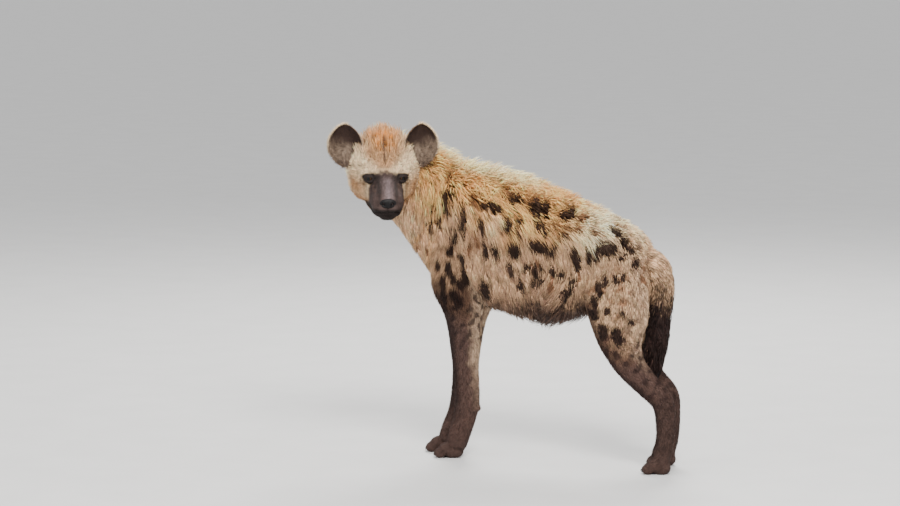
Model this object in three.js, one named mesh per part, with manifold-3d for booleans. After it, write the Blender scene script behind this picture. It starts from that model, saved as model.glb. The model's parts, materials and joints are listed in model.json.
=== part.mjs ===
// A standing spotted hyena at life size, in millimetres, +Z up. It faces +X with its head turned to
// its left, +Y. The body is modelled whole from lofted forms, dressed with locks of hair, and then
// parted by thin cuts into the pieces that a person would name.

import * as THREE from 'three';
import { LoftGeometry } from 'three/addons/geometries/LoftGeometry.js';
import { mergeVertices } from 'three/addons/utils/BufferGeometryUtils.js';
import Module from 'manifold-3d';

const wasm = await Module();
wasm.setup();

// Driving dimensions
const GAP = 0.3;
const CORE_SHARE = 0.45;
const SEED = 11;

const HEAD_PLACE = [412, 228, 811];
const HEAD_TURN = 117;
const HEAD_NOD = 10.5;

const EYE_RADIUS = 13;
const EYE_PLACE = [16, 43, 0];
const EYE_OUTWARD = 28;
const LID_THICKNESS = 3;

const FORE_REACH_RIGHT = 58;
const HIND_REACH_RIGHT = 28;
const FORE_FOOT = [288, 38];
const HIND_FOOT = [-338, 66];

// Trunk, from the rump to the breast: up and down are the skin's reach from the middle line
const TRUNK = [
  { at: [-284, 0, 530], half: 44, up: 34, down: 36, coatUp: 12, coatSide: 10, coatDown: 6 },
  { at: [-270, 0, 528], half: 72, up: 62, down: 70, coatUp: 18, coatSide: 14, coatDown: 12 },
  { at: [-243, 0, 532], half: 92, up: 86, down: 94, coatUp: 22, coatSide: 14, coatDown: 12 },
  { at: [-200, 0, 546], half: 103, up: 106, down: 104, coatUp: 26, coatSide: 14, coatDown: 12 },
  { at: [-130, 0, 562], half: 105, up: 128, down: 106, coatUp: 32, coatSide: 16, coatDown: 30 },
  { at: [-50, 0, 570], half: 112, up: 144, down: 138, coatUp: 40, coatSide: 18, coatDown: 42 },
  { at: [40, 0, 580], half: 120, up: 162, down: 150, coatUp: 46, coatSide: 18, coatDown: 36 },
  { at: [130, 0, 595], half: 122, up: 172, down: 156, coatUp: 52, coatSide: 18, coatDown: 22 },
  { at: [215, 0, 612], half: 118, up: 170, down: 160, coatUp: 56, coatSide: 18, coatDown: 16 },
  { at: [290, 0, 626], half: 106, up: 162, down: 156, coatUp: 62, coatSide: 18, coatDown: 16 },
  { at: [348, 0, 620], half: 84, up: 128, down: 140, coatUp: 56, coatSide: 18, coatDown: 18 },
  { at: [384, 0, 606], half: 54, up: 80, down: 84, coatUp: 20, coatSide: 14, coatDown: 16 },
  { at: [398, 0, 600], half: 26, up: 36, down: 40, coatUp: 8, coatSide: 8, coatDown: 8 },
];

// Neck, from inside the chest to inside the skull
const NECK = [
  { at: [250, 0, 650], half: 94, up: 120, down: 126, coatUp: 56, coatSide: 18, coatDown: 18 },
  { at: [325, 0, 694], half: 92, up: 106, down: 122, coatUp: 62, coatSide: 20, coatDown: 18 },
  { at: [392, 15, 744], half: 86, up: 94, down: 98, coatUp: 64, coatSide: 22, coatDown: 18 },
  { at: [440, 55, 784], half: 80, up: 82, down: 82, coatUp: 64, coatSide: 22, coatDown: 18 },
  { at: [464, 105, 812], half: 76, up: 72, down: 74, coatUp: 58, coatSide: 20, coatDown: 16 },
  { at: [461, 138, 822], half: 68, up: 60, down: 64, coatUp: 30, coatSide: 12, coatDown: 10 },
];

// Skull and upper muzzle in the head's own frame: the origin lies between the eyes, +X to the nose
const SKULL = [
  { at: [-166, 0, -10], half: 30, up: 30, down: 30, coatUp: 20, coatSide: 10, coatDown: 8 },
  { at: [-148, 0, -14], half: 60, up: 60, down: 58, coatUp: 44, coatSide: 16, coatDown: 10 },
  { at: [-116, 0, -18], half: 78, up: 78, down: 70, coatUp: 66, coatSide: 22, coatDown: 14 },
  { at: [-80, 0, -22], half: 84, up: 84, down: 74, coatUp: 44, coatSide: 22, coatDown: 14 },
  { at: [-42, 0, -28], half: 80, up: 80, down: 68, coatUp: 12, coatSide: 12, coatDown: 8 },
  { at: [-8, 0, -34], half: 69, up: 70, down: 54, coatUp: 6, coatSide: 6, coatDown: 4 },
  { at: [25, 0, -40], half: 56, up: 57, down: 42, coatUp: 3, coatSide: 3, coatDown: 2 },
  { at: [58, 0, -44], half: 49, up: 46, down: 38, coatUp: 2, coatSide: 2, coatDown: 1 },
  { at: [88, 0, -46], half: 47, up: 38, down: 36, coatUp: 1, coatSide: 1, coatDown: 1 },
  { at: [108, 0, -46], half: 42, up: 30, down: 35 },
  { at: [120, 0, -47], half: 27, up: 18, down: 23 },
];

// Lower jaw, from the throat to the chin, in the head's frame
const JAW = [
  { at: [-80, 0, -66], half: 54, up: 20, down: 40 },
  { at: [-20, 0, -70], half: 52, up: 20, down: 36 },
  { at: [32, 0, -75], half: 43, up: 16, down: 26 },
  { at: [72, 0, -79], half: 39, up: 14, down: 20 },
  { at: [99, 0, -81], half: 33, up: 12, down: 16 },
  { at: [108, 0, -80], half: 22, up: 8, down: 10 },
];

const EAR_CLEARANCE = 0.7;

// A lock's outline: how far along it each section lies, and its share of the width and thickness
const LOCK_SHAPE = [
  { along: -0.12, wide: 0.8, deep: 1 },
  { along: 0.3, wide: 1, deep: 1 },
  { along: 0.7, wide: 0.7, deep: 0.7 },
  { along: 1, wide: 0.1, deep: 0.16 },
];
const LOCK_SINK = 9;

// Locks by kind: their length, width and thickness, and how steeply they sweep down, in degrees
const CREST = { angles: [74, 90, 106], onEdge: true, length: 66, width: 34, thick: 7 };
const CROWN = { length: 50, width: 34, thick: 6 };
const SHAG = { length: 116, width: 76, thick: 8 };
const RUFF = { length: 70, width: 38, thick: 7 };
const FRINGE = { onEdge: true, length: 70, width: 50, thick: 7 };
const TUFT = { forward: 1, length: 84, width: 26, thick: 7 };

// Ear dish from its lower rim to its tip, in the head's frame, for the left side
const EAR = [
  { at: [-80, 103, 4], half: 8, up: 8, down: 3 },
  { at: [-80, 105, 20], half: 31, up: 24, down: 4 },
  { at: [-82, 107, 48], half: 46, up: 36, down: 4 },
  { at: [-86, 108, 78], half: 49, up: 34, down: 4 },
  { at: [-90, 108, 101], half: 39, up: 25, down: 4 },
  { at: [-94, 109, 120], half: 21, up: 13, down: 4 },
  { at: [-96, 110, 131], half: 5, up: 5, down: 3 },
];
const EAR_WALL = 4;
const EAR_OUTWARD = 16;
const EAR_SEAT = [-88, 72, 36];
const EAR_SEAT_NORMAL = [0, 0.8, 0.6];
const EAR_SEAT_DEPTH = 160;

// Left foreleg from the shoulder blade to the paw: up is its reach forward, down its reach back
const FORELEG = [
  { at: [270, 34, 690], half: 30, up: 40, down: 46 },
  { at: [268, 64, 610], half: 46, up: 66, down: 62, coatSide: 10 },
  { at: [260, 70, 510], half: 50, up: 74, down: 66, coatSide: 14 },
  { at: [250, 60, 440], half: 42, up: 60, down: 62, coatSide: 8 },
  { at: [249, 52, 385], half: 36, up: 46, down: 47 },
  { at: [247, 46, 310], half: 31, up: 39, down: 39 },
  { at: [244, 41, 230], half: 28, up: 35, down: 35 },
  { at: [242, 39, 165], half: 28, up: 35, down: 34 },
  { at: [249, 38, 115], half: 25, up: 33, down: 29 },
  { at: [263, 38, 70], half: 27, up: 33, down: 27 },
  { at: [274, 38, 34], half: 29, up: 30, down: 26 },
];

// Left hind leg from the haunch to the paw
const HINDLEG = [
  { at: [-212, 34, 620], half: 34, up: 56, down: 44 },
  { at: [-216, 66, 540], half: 46, up: 90, down: 68, coatSide: 10, coatDown: 8 },
  { at: [-219, 74, 450], half: 48, up: 90, down: 76, coatSide: 10, coatDown: 12 },
  { at: [-221, 74, 375], half: 42, up: 62, down: 62, coatSide: 6, coatDown: 8 },
  { at: [-248, 71, 305], half: 34, up: 44, down: 42 },
  { at: [-298, 68, 248], half: 28, up: 34, down: 33 },
  { at: [-344, 66, 202], half: 25, up: 30, down: 30 },
  { at: [-354, 66, 150], half: 22, up: 27, down: 26 },
  { at: [-353, 66, 92], half: 22, up: 25, down: 24 },
  { at: [-345, 66, 56], half: 25, up: 28, down: 25 },
  { at: [-340, 66, 32], half: 27, up: 26, down: 24 },
];

// Tail from the rump to its tip: up is its reach back, down its reach forward
const TAIL = [
  { at: [-256, 0, 585], half: 26, up: 24, down: 26 },
  { at: [-297, 0, 570], half: 22, up: 22, down: 21, coatUp: 4, coatSide: 4, coatDown: 1 },
  { at: [-318, 0, 534], half: 18, up: 16, down: 15, coatUp: 6, coatSide: 6, coatDown: 1 },
  { at: [-320, 0, 484], half: 16, up: 14, down: 14, coatUp: 8, coatSide: 8, coatDown: 4 },
  { at: [-311, 0, 424], half: 13, up: 12, down: 12, coatUp: 17, coatSide: 16, coatDown: 12 },
  { at: [-303, 0, 360], half: 10, up: 9, down: 9, coatUp: 19, coatSide: 18, coatDown: 16 },
  { at: [-295, 0, 300], half: 7, up: 6, down: 6, coatUp: 15, coatSide: 14, coatDown: 13 },
  { at: [-287, 0, 240], half: 3, up: 3, down: 3, coatUp: 4, coatSide: 4, coatDown: 4 },
];

// Thin cuts: a plate's middle, the way that it faces, and its two widths
const CUTS = {
  neckRoot: { at: [322, 0, 700], facing: [0.8, 0, 0.6], size: [440, 400] },
  nape: { at: [462, 92, 800], facing: [0.05, 0.86, 0.5], size: [260, 380] },
  wrist: { height: 74, size: [110, 62] },
  hock: { height: 68, size: [110, 80] },
  shoulder: { at: [250, 68, 408], facing: [0, 0, 1], size: [190, 130] },
  thigh: { at: [-222, 78, 428], facing: [0, 0, 1], size: [262, 152] },
  tailRoot: { at: [-314, 0, 545], facing: [-0.45, 0, -0.9], size: [70, 60] },
};

// Colours and finishes
const FINISH = {
  coat: { color: 0xb79a72, roughness: 0.95 },
  pale: { color: 0xcdb893, roughness: 0.95 },
  leg: { color: 0x6f5a45, roughness: 0.92 },
  paw: { color: 0x4d4036, roughness: 0.85 },
  ear: { color: 0x3e3431, roughness: 0.9 },
  eye: { color: 0x1c130e, roughness: 0.12 },
  tail: { color: 0x3a2c22, roughness: 0.95 },
};

let drawState = SEED;

// A seeded draw between 0 and 1
function draw() {
  drawState = (drawState * 1664525 + 1013904223) % 4294967296;
  return drawState / 4294967296;
}

const vector = ([x, y, z]) => new THREE.Vector3(x, y, z);
const radians = THREE.MathUtils.degToRad;

const headFrame = new THREE.Matrix4()
  .makeTranslation(...HEAD_PLACE)
  .multiply(new THREE.Matrix4().makeRotationZ(radians(HEAD_TURN)))
  .multiply(new THREE.Matrix4().makeRotationY(radians(HEAD_NOD)));

// The value at u, from 0 to 1, of a smooth curve through evenly spaced values
function smooth(values, u) {
  const spans = values.length - 1;
  const place = THREE.MathUtils.clamp(u, 0, 1) * spans;
  const i = Math.min(Math.floor(place), spans - 1);
  const t = place - i;
  const before = values[Math.max(i - 1, 0)];
  const here = values[i];
  const next = values[i + 1];
  const after = values[Math.min(i + 2, spans)];
  const square = 2 * before - 5 * here + 4 * next - after;
  const cube = 3 * here - before - 3 * next + after;
  return 0.5 * (2 * here + (next - before) * t + square * t * t + cube * t * t * t);
}

// A form is a closed tube of rounded sections through a few stations along its middle line
class Form {
  constructor(stations, { upward = [0, 0, 1], sides = 14, rings = 12, frame, round = 2.2 }) {
    this.stations = stations;
    this.upward = vector(upward);
    this.sides = sides;
    this.rings = rings;
    this.frame = frame ?? new THREE.Matrix4();
    this.round = round;
  }

  size(name, u) {
    return smooth(this.stations.map((station) => station[name] ?? 0), u);
  }

  middle(u) {
    return vector([0, 1, 2].map((axis) => smooth(this.stations.map((station) => station.at[axis]), u)));
  }

  // A point of the coat at a share of its depth: angle 0 is the side, 90 the top
  surface(u, angle, share) {
    const step = 0.02;
    const along = this.middle(Math.min(u + step, 1)).sub(this.middle(Math.max(u - step, 0))).normalize();
    const across = new THREE.Vector3().crossVectors(this.upward, along).normalize();
    const rise = new THREE.Vector3().crossVectors(along, across);
    const cosine = Math.cos(radians(angle));
    const sine = Math.sin(radians(angle));
    const sideways = Math.sign(cosine) * Math.abs(cosine) ** (2 / this.round);
    const upwards = Math.sign(sine) * Math.abs(sine) ** (2 / this.round);
    const half = this.size('half', u) + share * this.size('coatSide', u);
    const up = this.size('up', u) + share * this.size('coatUp', u);
    const down = this.size('down', u) + share * this.size('coatDown', u);
    return this.middle(u)
      .addScaledVector(across, sideways * half)
      .addScaledVector(rise, upwards * (sine > 0 ? up : down))
      .applyMatrix4(this.frame);
  }

  // The way out of the core's surface at a place, square to it
  outward(u, angle) {
    const here = this.surface(u, angle, CORE_SHARE);
    const along = this.surface(u + 0.01, angle, CORE_SHARE).sub(this.surface(u - 0.01, angle, CORE_SHARE));
    const around = this.surface(u, angle + 1, CORE_SHARE).sub(here);
    return around.cross(along).normalize();
  }

  length() {
    const places = this.stations.map((station) => vector(station.at));
    return places.slice(1).reduce((sum, place, i) => sum + place.distanceTo(places[i]), 0);
  }

  geometry(share = CORE_SHARE) {
    const sections = [];
    for (let ring = 0; ring < this.rings; ring += 1) {
      const section = [];
      for (let side = 0; side < this.sides; side += 1) {
        section.push(this.surface(ring / (this.rings - 1), side * 360 / this.sides, share));
      }
      sections.push(section);
    }
    return new LoftGeometry(sections, { capStart: true, capEnd: true });
  }
}

// Solids: a closed mesh becomes a solid that can be joined and cut, and is turned back at the end
function solid(geometry, frame) {
  const shape = new THREE.BufferGeometry().copy(geometry);
  shape.deleteAttribute('normal');
  shape.deleteAttribute('uv');
  if (frame) shape.applyMatrix4(frame);
  const merged = mergeVertices(shape, 1e-4);
  const vertProperties = Float32Array.from(merged.attributes.position.array);
  const triVerts = Uint32Array.from(merged.index.array);
  return new wasm.Manifold(new wasm.Mesh({ numProp: 3, vertProperties, triVerts }));
}

function joined(solids) {
  return wasm.Manifold.union(solids);
}

function largest(shape) {
  return shape.decompose().sort((a, b) => b.volume() - a.volume())[0];
}

function mesh(name, shape, finish) {
  const { vertProperties, triVerts } = shape.getMesh();
  const geometry = new THREE.BufferGeometry();
  geometry.setAttribute('position', new THREE.BufferAttribute(Float32Array.from(vertProperties), 3));
  geometry.setIndex(new THREE.BufferAttribute(Uint32Array.from(triVerts), 1));
  geometry.computeVertexNormals();
  const { color, roughness } = FINISH[finish];
  const material = new THREE.MeshStandardMaterial({ color, roughness, metalness: 0 });
  const piece = new THREE.Mesh(geometry, material);
  piece.name = name;
  return piece;
}

// A ball stretched to three radii, turned about Z and set in a frame
function ball(at, radii, { turn = 0, tilt = 0, frame, across = 10, rows = 7 } = {}) {
  const place = new THREE.Matrix4()
    .makeTranslation(...at)
    .multiply(new THREE.Matrix4().makeRotationZ(radians(turn)))
    .multiply(new THREE.Matrix4().makeRotationY(radians(tilt)))
    .scale(vector(radii));
  if (frame) place.premultiply(frame);
  return solid(new THREE.SphereGeometry(1, across, rows), place);
}

// A plate as thin as the gap that touching pieces keep
function plate({ at, facing, size }) {
  const way = vector(facing).normalize();
  const turn = new THREE.Quaternion().setFromUnitVectors(new THREE.Vector3(0, 0, 1), way);
  const place = new THREE.Matrix4().compose(vector(at), turn, new THREE.Vector3(1, 1, 1));
  return solid(new THREE.BoxGeometry(size[0], size[1], GAP), place);
}

const mirrored = (stations, reach = () => 0) => stations.map((station) => ({
  ...station,
  at: [station.at[0] + reach(station.at[2]), -station.at[1], station.at[2]],
}));

const flipped = ([x, y, z]) => [x, -y, z];

// A lock of hair is flat, three-sided and tapered. It lies along its form: the root is sunk in, and
// the tip rises to the outside of the coat. One on edge stands up, so that its flat side faces out.
function lock(form, { u, angle, forward = -1, sweep = 0, onEdge = false, length, width, thick }) {
  const side = Math.cos(radians(angle)) > 0 ? 1 : -1;
  const stepAlong = forward * length * Math.cos(radians(sweep)) / form.length();
  const drop = length * Math.sin(radians(sweep)) / form.size('half', u);
  const stepAround = -side * THREE.MathUtils.radToDeg(drop);
  const spine = LOCK_SHAPE.map(({ along, wide }) => {
    const reached = THREE.MathUtils.clamp(u + stepAlong * along, 0.02, 0.98);
    const place = [reached, angle + stepAround * along];
    const core = form.surface(...place, CORE_SHARE);
    const depth = core.distanceTo(form.surface(...place, 1));
    const edge = onEdge ? wide * width / 2 : 0;
    const rise = along < 0 ? -LOCK_SINK : depth * (1 - (1 - along) ** 2) - edge;
    const outward = form.outward(...place);
    return { at: core.addScaledVector(outward, rise), outward };
  });
  const last = spine.length - 1;
  const sections = LOCK_SHAPE.map(({ wide, deep }, i) => {
    const { at, outward } = spine[i];
    const along = spine[Math.min(i + 1, last)].at.clone().sub(spine[Math.max(i - 1, 0)].at).normalize();
    const sideways = new THREE.Vector3().crossVectors(outward, along).normalize();
    const across = onEdge ? outward.clone() : sideways;
    const raised = new THREE.Vector3().crossVectors(along, across).normalize();
    const corner = (share, up) => at.clone()
      .addScaledVector(across, share * wide * width / 2)
      .addScaledVector(raised, up * deep * thick);
    return [corner(1, -0.35), corner(0, 0.65), corner(-1, -0.35)];
  });
  return solid(new LoftGeometry(sections, { capStart: true, capEnd: true }));
}

// Locks in a patch of a form: rows at the given angles, each with its locks spread along the form
function lockPatch(form, { from, to, count, angles, length, width, ...kind }) {
  const locks = [];
  angles.forEach((angle, row) => {
    for (let i = 0; i < count; i += 1) {
      const place = (i + 0.5 * (row % 2) + 0.25 + 0.3 * (draw() - 0.5)) / count;
      const size = 0.85 + 0.3 * draw();
      locks.push(lock(form, {
        ...kind,
        u: THREE.MathUtils.lerp(from, to, place),
        angle: angle + 5 * (draw() - 0.5),
        length: length * size,
        width: width * size,
      }));
    }
  });
  return locks;
}

// Head
function eyeFrame(side) {
  return new THREE.Matrix4()
    .makeTranslation(EYE_PLACE[0], side * EYE_PLACE[1], EYE_PLACE[2])
    .multiply(new THREE.Matrix4().makeRotationZ(radians(side * EYE_OUTWARD)))
    .premultiply(headFrame);
}

function eyeball(side, radius) {
  return ball([0, 0, 0], [radius, radius, radius], { frame: eyeFrame(side), across: 10, rows: 6 });
}

const skullForm = () => new Form(SKULL, { sides: 16, rings: 13, frame: headFrame });

function headSolid() {
  const jaw = new Form(JAW, { sides: 12, rings: 7, frame: headFrame });
  const nosePad = ball([111, 0, -39], [15, 28, 17], { frame: headFrame, across: 12, rows: 7 });
  let head = joined([solid(skullForm().geometry()), solid(jaw.geometry()), nosePad]);
  for (const side of [1, -1]) {
    const browTurn = { turn: side * EYE_OUTWARD, tilt: -14, frame: headFrame };
    const brow = ball([0, side * 40, 9], [26, 26, 8], browTurn);
    const lids = eyeball(side, EYE_RADIUS + LID_THICKNESS);
    const opening = ball([EYE_RADIUS, 0, -0.5], [9, 12.5, 7], { frame: eyeFrame(side) });
    const nostril = ball([123, side * 14, -42], [9, 5, 5], { turn: side * 24, frame: headFrame, rows: 5 });
    head = joined([head, brow, lids]);
    head = head.subtract(joined([opening, nostril, eyeball(side, EYE_RADIUS + GAP)]));
  }
  return head;
}

function earForm(side, change = (station) => station) {
  const pivot = [EAR[2].at[0], side * EAR[2].at[1], 0];
  const frame = headFrame.clone()
    .multiply(new THREE.Matrix4().makeTranslation(...pivot))
    .multiply(new THREE.Matrix4().makeRotationZ(radians(side * EAR_OUTWARD)))
    .multiply(new THREE.Matrix4().makeTranslation(-pivot[0], -pivot[1], 0));
  const clear = { coatUp: EAR_CLEARANCE, coatSide: EAR_CLEARANCE, coatDown: EAR_CLEARANCE };
  const stations = (side > 0 ? EAR : mirrored(EAR)).map((station) => ({ ...clear, ...change(station) }));
  return new Form(stations, { upward: [-1, 0, 0], sides: 12, rings: 7, frame });
}

function earStem(side, grow = 0) {
  const radii = [22 + grow, 24 + grow, 26 + grow];
  return ball([-104, side * 80, 34], radii, { frame: headFrame, across: 8, rows: 6 });
}

// The block on the skull's side of the plane that an ear sits on, its face drawn back by an offset
function seatBlock(side, offset) {
  const normal = new THREE.Vector3(EAR_SEAT_NORMAL[0], side * EAR_SEAT_NORMAL[1], EAR_SEAT_NORMAL[2]);
  const seat = new THREE.Vector3(EAR_SEAT[0], side * EAR_SEAT[1], EAR_SEAT[2]);
  const turn = new THREE.Quaternion().setFromUnitVectors(new THREE.Vector3(0, 0, 1), normal);
  const at = seat.addScaledVector(normal, -offset - EAR_SEAT_DEPTH / 2);
  const place = new THREE.Matrix4().compose(at, turn, new THREE.Vector3(1, 1, 1)).premultiply(headFrame);
  return solid(new THREE.BoxGeometry(EAR_SEAT_DEPTH, EAR_SEAT_DEPTH, EAR_SEAT_DEPTH), place);
}

function earSolid(side) {
  const hollow = ({ at, half, up, down }) => ({
    at,
    half: Math.max(half - EAR_WALL, 1.5),
    up: Math.max(up - EAR_WALL, 1.5),
    down: down + 20,
  });
  const dish = solid(earForm(side).geometry(0));
  const cup = solid(earForm(side, hollow).geometry(0));
  return largest(joined([dish, earStem(side)]).subtract(joined([cup, seatBlock(side, 0)])));
}

const earRoot = (side) => earStem(side).intersect(seatBlock(side, GAP));

// The room that an ear keeps clear of the head and of the mane behind it
function earRoom(side) {
  const room = joined([solid(earForm(side).geometry(1)), earStem(side, EAR_CLEARANCE)]);
  return room.subtract(seatBlock(side, GAP));
}

// Paws: four toes with blunt claws on a low pad, standing on flats at the floor
function pawSolid([x, y], { length, width, turn = 0 }) {
  const frame = new THREE.Matrix4().makeTranslation(x, y, 0)
    .multiply(new THREE.Matrix4().makeRotationZ(radians(turn)));
  const pieces = [
    ball([-4, 0, 20], [length * 0.42, width * 0.42, 25], { frame, across: 8, rows: 6 }),
  ];
  for (let toe = 0; toe < 4; toe += 1) {
    const spread = toe - 1.5;
    const forward = length * (Math.abs(spread) > 1 ? 0.3 : 0.4);
    const out = spread * width * 0.245;
    const heading = spread * 7;
    const radii = [length * 0.21, width * 0.135, 17];
    pieces.push(ball([forward, out, 13], radii, { turn: heading, tilt: 12, frame, across: 6, rows: 4 }));
    const clawPlace = new THREE.Matrix4()
      .makeTranslation(forward + length * 0.2, out + spread * 1.5, 9)
      .multiply(new THREE.Matrix4().makeRotationZ(radians(heading)))
      .multiply(new THREE.Matrix4().makeRotationY(radians(18)))
      .multiply(new THREE.Matrix4().makeRotationZ(radians(-90)))
      .premultiply(frame);
    pieces.push(solid(new THREE.ConeGeometry(3.6, 20, 4), clawPlace));
  }
  return joined(pieces);
}

// The whole animal before it is parted
function wholeBody() {
  const trunk = new Form(TRUNK, { sides: 16, rings: 14 });
  const neck = new Form(NECK, { sides: 16, rings: 8 });
  const skull = skullForm();
  const forward = [1, 0, 0];
  const foreReach = (height) => FORE_REACH_RIGHT * (1 - THREE.MathUtils.clamp(height / 620, 0, 1));
  const hindReach = (height) => HIND_REACH_RIGHT * (1 - THREE.MathUtils.smoothstep(height, 220, 470));
  const limb = (stations) => solid(new Form(stations, { upward: forward, sides: 10, rings: 14 }).geometry());
  const tail = new Form(TAIL, { upward: [-1, 0, 0], sides: 8, rings: 10 });
  const forePaw = { length: 82, width: 68 };
  const hindPaw = { length: 80, width: 62 };
  const rightFore = [FORE_FOOT[0] + FORE_REACH_RIGHT, -FORE_FOOT[1] - 4];
  const rightHind = [HIND_FOOT[0] + HIND_REACH_RIGHT, -HIND_FOOT[1]];
  const both = (angles) => [...angles, ...angles.map((angle) => 180 - angle)];
  const locks = [
    ...lockPatch(trunk, { ...CREST, from: 0.33, to: 0.8, count: 9 }),
    ...lockPatch(neck, { ...CREST, from: 0.15, to: 0.78, count: 6 }),
    ...lockPatch(skull, { ...CROWN, from: 0.12, to: 0.42, count: 3, angles: [75, 90, 105] }),
    ...lockPatch(trunk, { ...SHAG, from: 0.3, to: 0.85, count: 5, angles: both([48, 20]), sweep: 34 }),
    ...lockPatch(trunk, { ...SHAG, from: 0.34, to: 0.85, count: 4, angles: both([-8, -34]), sweep: 50 }),
    ...lockPatch(trunk, { ...SHAG, length: 84, from: 0.12, to: 0.3, count: 3, angles: both([44]), sweep: 36 }),
    ...lockPatch(neck, { ...RUFF, from: 0.24, to: 0.82, count: 3, angles: both([46, 12, -24]), sweep: 30 }),
    ...lockPatch(trunk, { ...FRINGE, from: 0.44, to: 0.62, count: 3, angles: [248, 270, 292] }),
    ...lockPatch(skull, { ...RUFF, from: 0.22, to: 0.44, count: 2, angles: both([-6, -34]), sweep: 40 }),
    ...lockPatch(tail, { ...TUFT, from: 0.48, to: 0.86, count: 3, angles: [36, 108, 180, 252, 324] }),
  ];
  const body = joined([
    ...locks,
    solid(trunk.geometry()),
    solid(neck.geometry()),
    limb(FORELEG),
    limb(mirrored(FORELEG, foreReach)),
    limb(HINDLEG),
    limb(mirrored(HINDLEG, hindReach)),
    solid(tail.geometry()),
    pawSolid(FORE_FOOT, forePaw),
    pawSolid(rightFore, forePaw),
    pawSolid(HIND_FOOT, hindPaw),
    pawSolid(rightHind, hindPaw),
  ]);
  const belowFloor = new THREE.BoxGeometry(1200, 600, 60);
  const floorCut = solid(belowFloor, new THREE.Matrix4().makeTranslation(0, 0, -30));
  const whole = joined([body, headSolid(), earRoot(1), earRoot(-1)]);
  return whole.subtract(joined([floorCut, earRoom(1), earRoom(-1)]));
}

function cutPlates() {
  const plates = [plate(CUTS.neckRoot), plate(CUTS.nape), plate(CUTS.tailRoot)];
  for (const side of [1, -1]) {
    const foreShift = side > 0 ? 0 : FORE_REACH_RIGHT;
    const hindShift = side > 0 ? 0 : HIND_REACH_RIGHT;
    const onSide = (at) => (side > 0 ? at : flipped(at));
    plates.push(plate({ ...CUTS.shoulder, at: onSide(CUTS.shoulder.at) }));
    plates.push(plate({ ...CUTS.thigh, at: onSide(CUTS.thigh.at) }));
    const wristAt = [FORE_FOOT[0] + foreShift - 16, side * 40, CUTS.wrist.height];
    plates.push(plate({ at: wristAt, facing: [0, 0, 1], size: CUTS.wrist.size }));
    const hockAt = [HIND_FOOT[0] + hindShift - 8, side * HIND_FOOT[1], CUTS.hock.height];
    plates.push(plate({ at: hockAt, facing: [0, 0, 1], size: CUTS.hock.size }));
  }
  return plates;
}

// Each named piece is found by a point that lies well inside it
const inHead = (at) => vector(at).applyMatrix4(headFrame).toArray();
const PARTS = [
  { name: 'head', inside: inHead([-60, 0, -20]), finish: 'pale' },
  { name: 'neck', inside: [420, 40, 765], finish: 'coat' },
  { name: 'torso', inside: [50, 0, 590], finish: 'coat' },
  { name: 'tail', inside: [-311, 0, 424], finish: 'tail' },
  { name: 'foreleg_left', inside: [246, 43, 270], finish: 'leg' },
  { name: 'foreleg_right', inside: [284, -43, 270], finish: 'leg' },
  { name: 'forepaw_left', inside: [280, 38, 25], finish: 'paw' },
  { name: 'forepaw_right', inside: [348, -42, 25], finish: 'paw' },
  { name: 'hindleg_left', inside: [-222, 74, 370], finish: 'leg' },
  { name: 'hindleg_right', inside: [-215, -74, 370], finish: 'leg' },
  { name: 'hindpaw_left', inside: [-338, 66, 25], finish: 'paw' },
  { name: 'hindpaw_right', inside: [-310, -66, 25], finish: 'paw' },
];

const group = new THREE.Group();
const pieces = wholeBody().subtract(joined(cutPlates())).decompose();
for (const { name, inside, finish } of PARTS) {
  const probe = ball(inside, [2, 2, 2], { across: 6, rows: 4 });
  const found = pieces.find((piece) => piece.intersect(probe).volume() > 0);
  if (!found) throw new Error(`no piece lies at the point given for ${name}`);
  group.add(mesh(name, found, finish));
}
group.add(mesh('ear_left', earSolid(1), 'ear'));
group.add(mesh('ear_right', earSolid(-1), 'ear'));
group.add(mesh('eye_left', eyeball(1, EYE_RADIUS), 'eye'));
group.add(mesh('eye_right', eyeball(-1, EYE_RADIUS), 'eye'));

// The origin is on the floor under the middle of the whole animal
const reach = new THREE.Box3().setFromObject(group);
const middle = reach.getCenter(new THREE.Vector3());
group.position.set(-middle.x, -middle.y, -reach.min.z);

export default group;
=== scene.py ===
"""A standing spotted hyena at life size: skin, shaggy coat, eyes, ears, nose and claws, on a pale floor."""

import json
import math

import bmesh
import bpy
import numpy as np
from bpy.props import FloatProperty, FloatVectorProperty, IntProperty, PointerProperty
from mathutils import Matrix, Vector
from mathutils.kdtree import KDTree


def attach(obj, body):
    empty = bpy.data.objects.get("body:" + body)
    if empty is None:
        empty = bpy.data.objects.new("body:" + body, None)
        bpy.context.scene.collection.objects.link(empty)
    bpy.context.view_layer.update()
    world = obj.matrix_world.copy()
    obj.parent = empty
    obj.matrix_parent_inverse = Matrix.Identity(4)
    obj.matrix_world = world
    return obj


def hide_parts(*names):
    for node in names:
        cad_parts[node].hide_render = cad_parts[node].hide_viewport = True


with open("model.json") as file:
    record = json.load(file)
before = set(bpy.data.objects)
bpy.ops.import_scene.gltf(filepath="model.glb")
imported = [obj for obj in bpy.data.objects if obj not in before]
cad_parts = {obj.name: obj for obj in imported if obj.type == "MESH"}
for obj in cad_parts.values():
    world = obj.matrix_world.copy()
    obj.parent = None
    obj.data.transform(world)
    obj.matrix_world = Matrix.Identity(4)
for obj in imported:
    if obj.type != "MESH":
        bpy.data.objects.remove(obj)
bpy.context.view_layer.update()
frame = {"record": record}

bl_info = {
    "name": "Spotted Hyena",
    "version": (1, 0, 0),
    "blender": (4, 5, 0),
    "location": "View3D > Sidebar > Hyena",
    "description": "Builds a life-size spotted hyena with its coat, and a small studio round it",
    "category": "Add Mesh",
}

MM = 0.001

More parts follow.
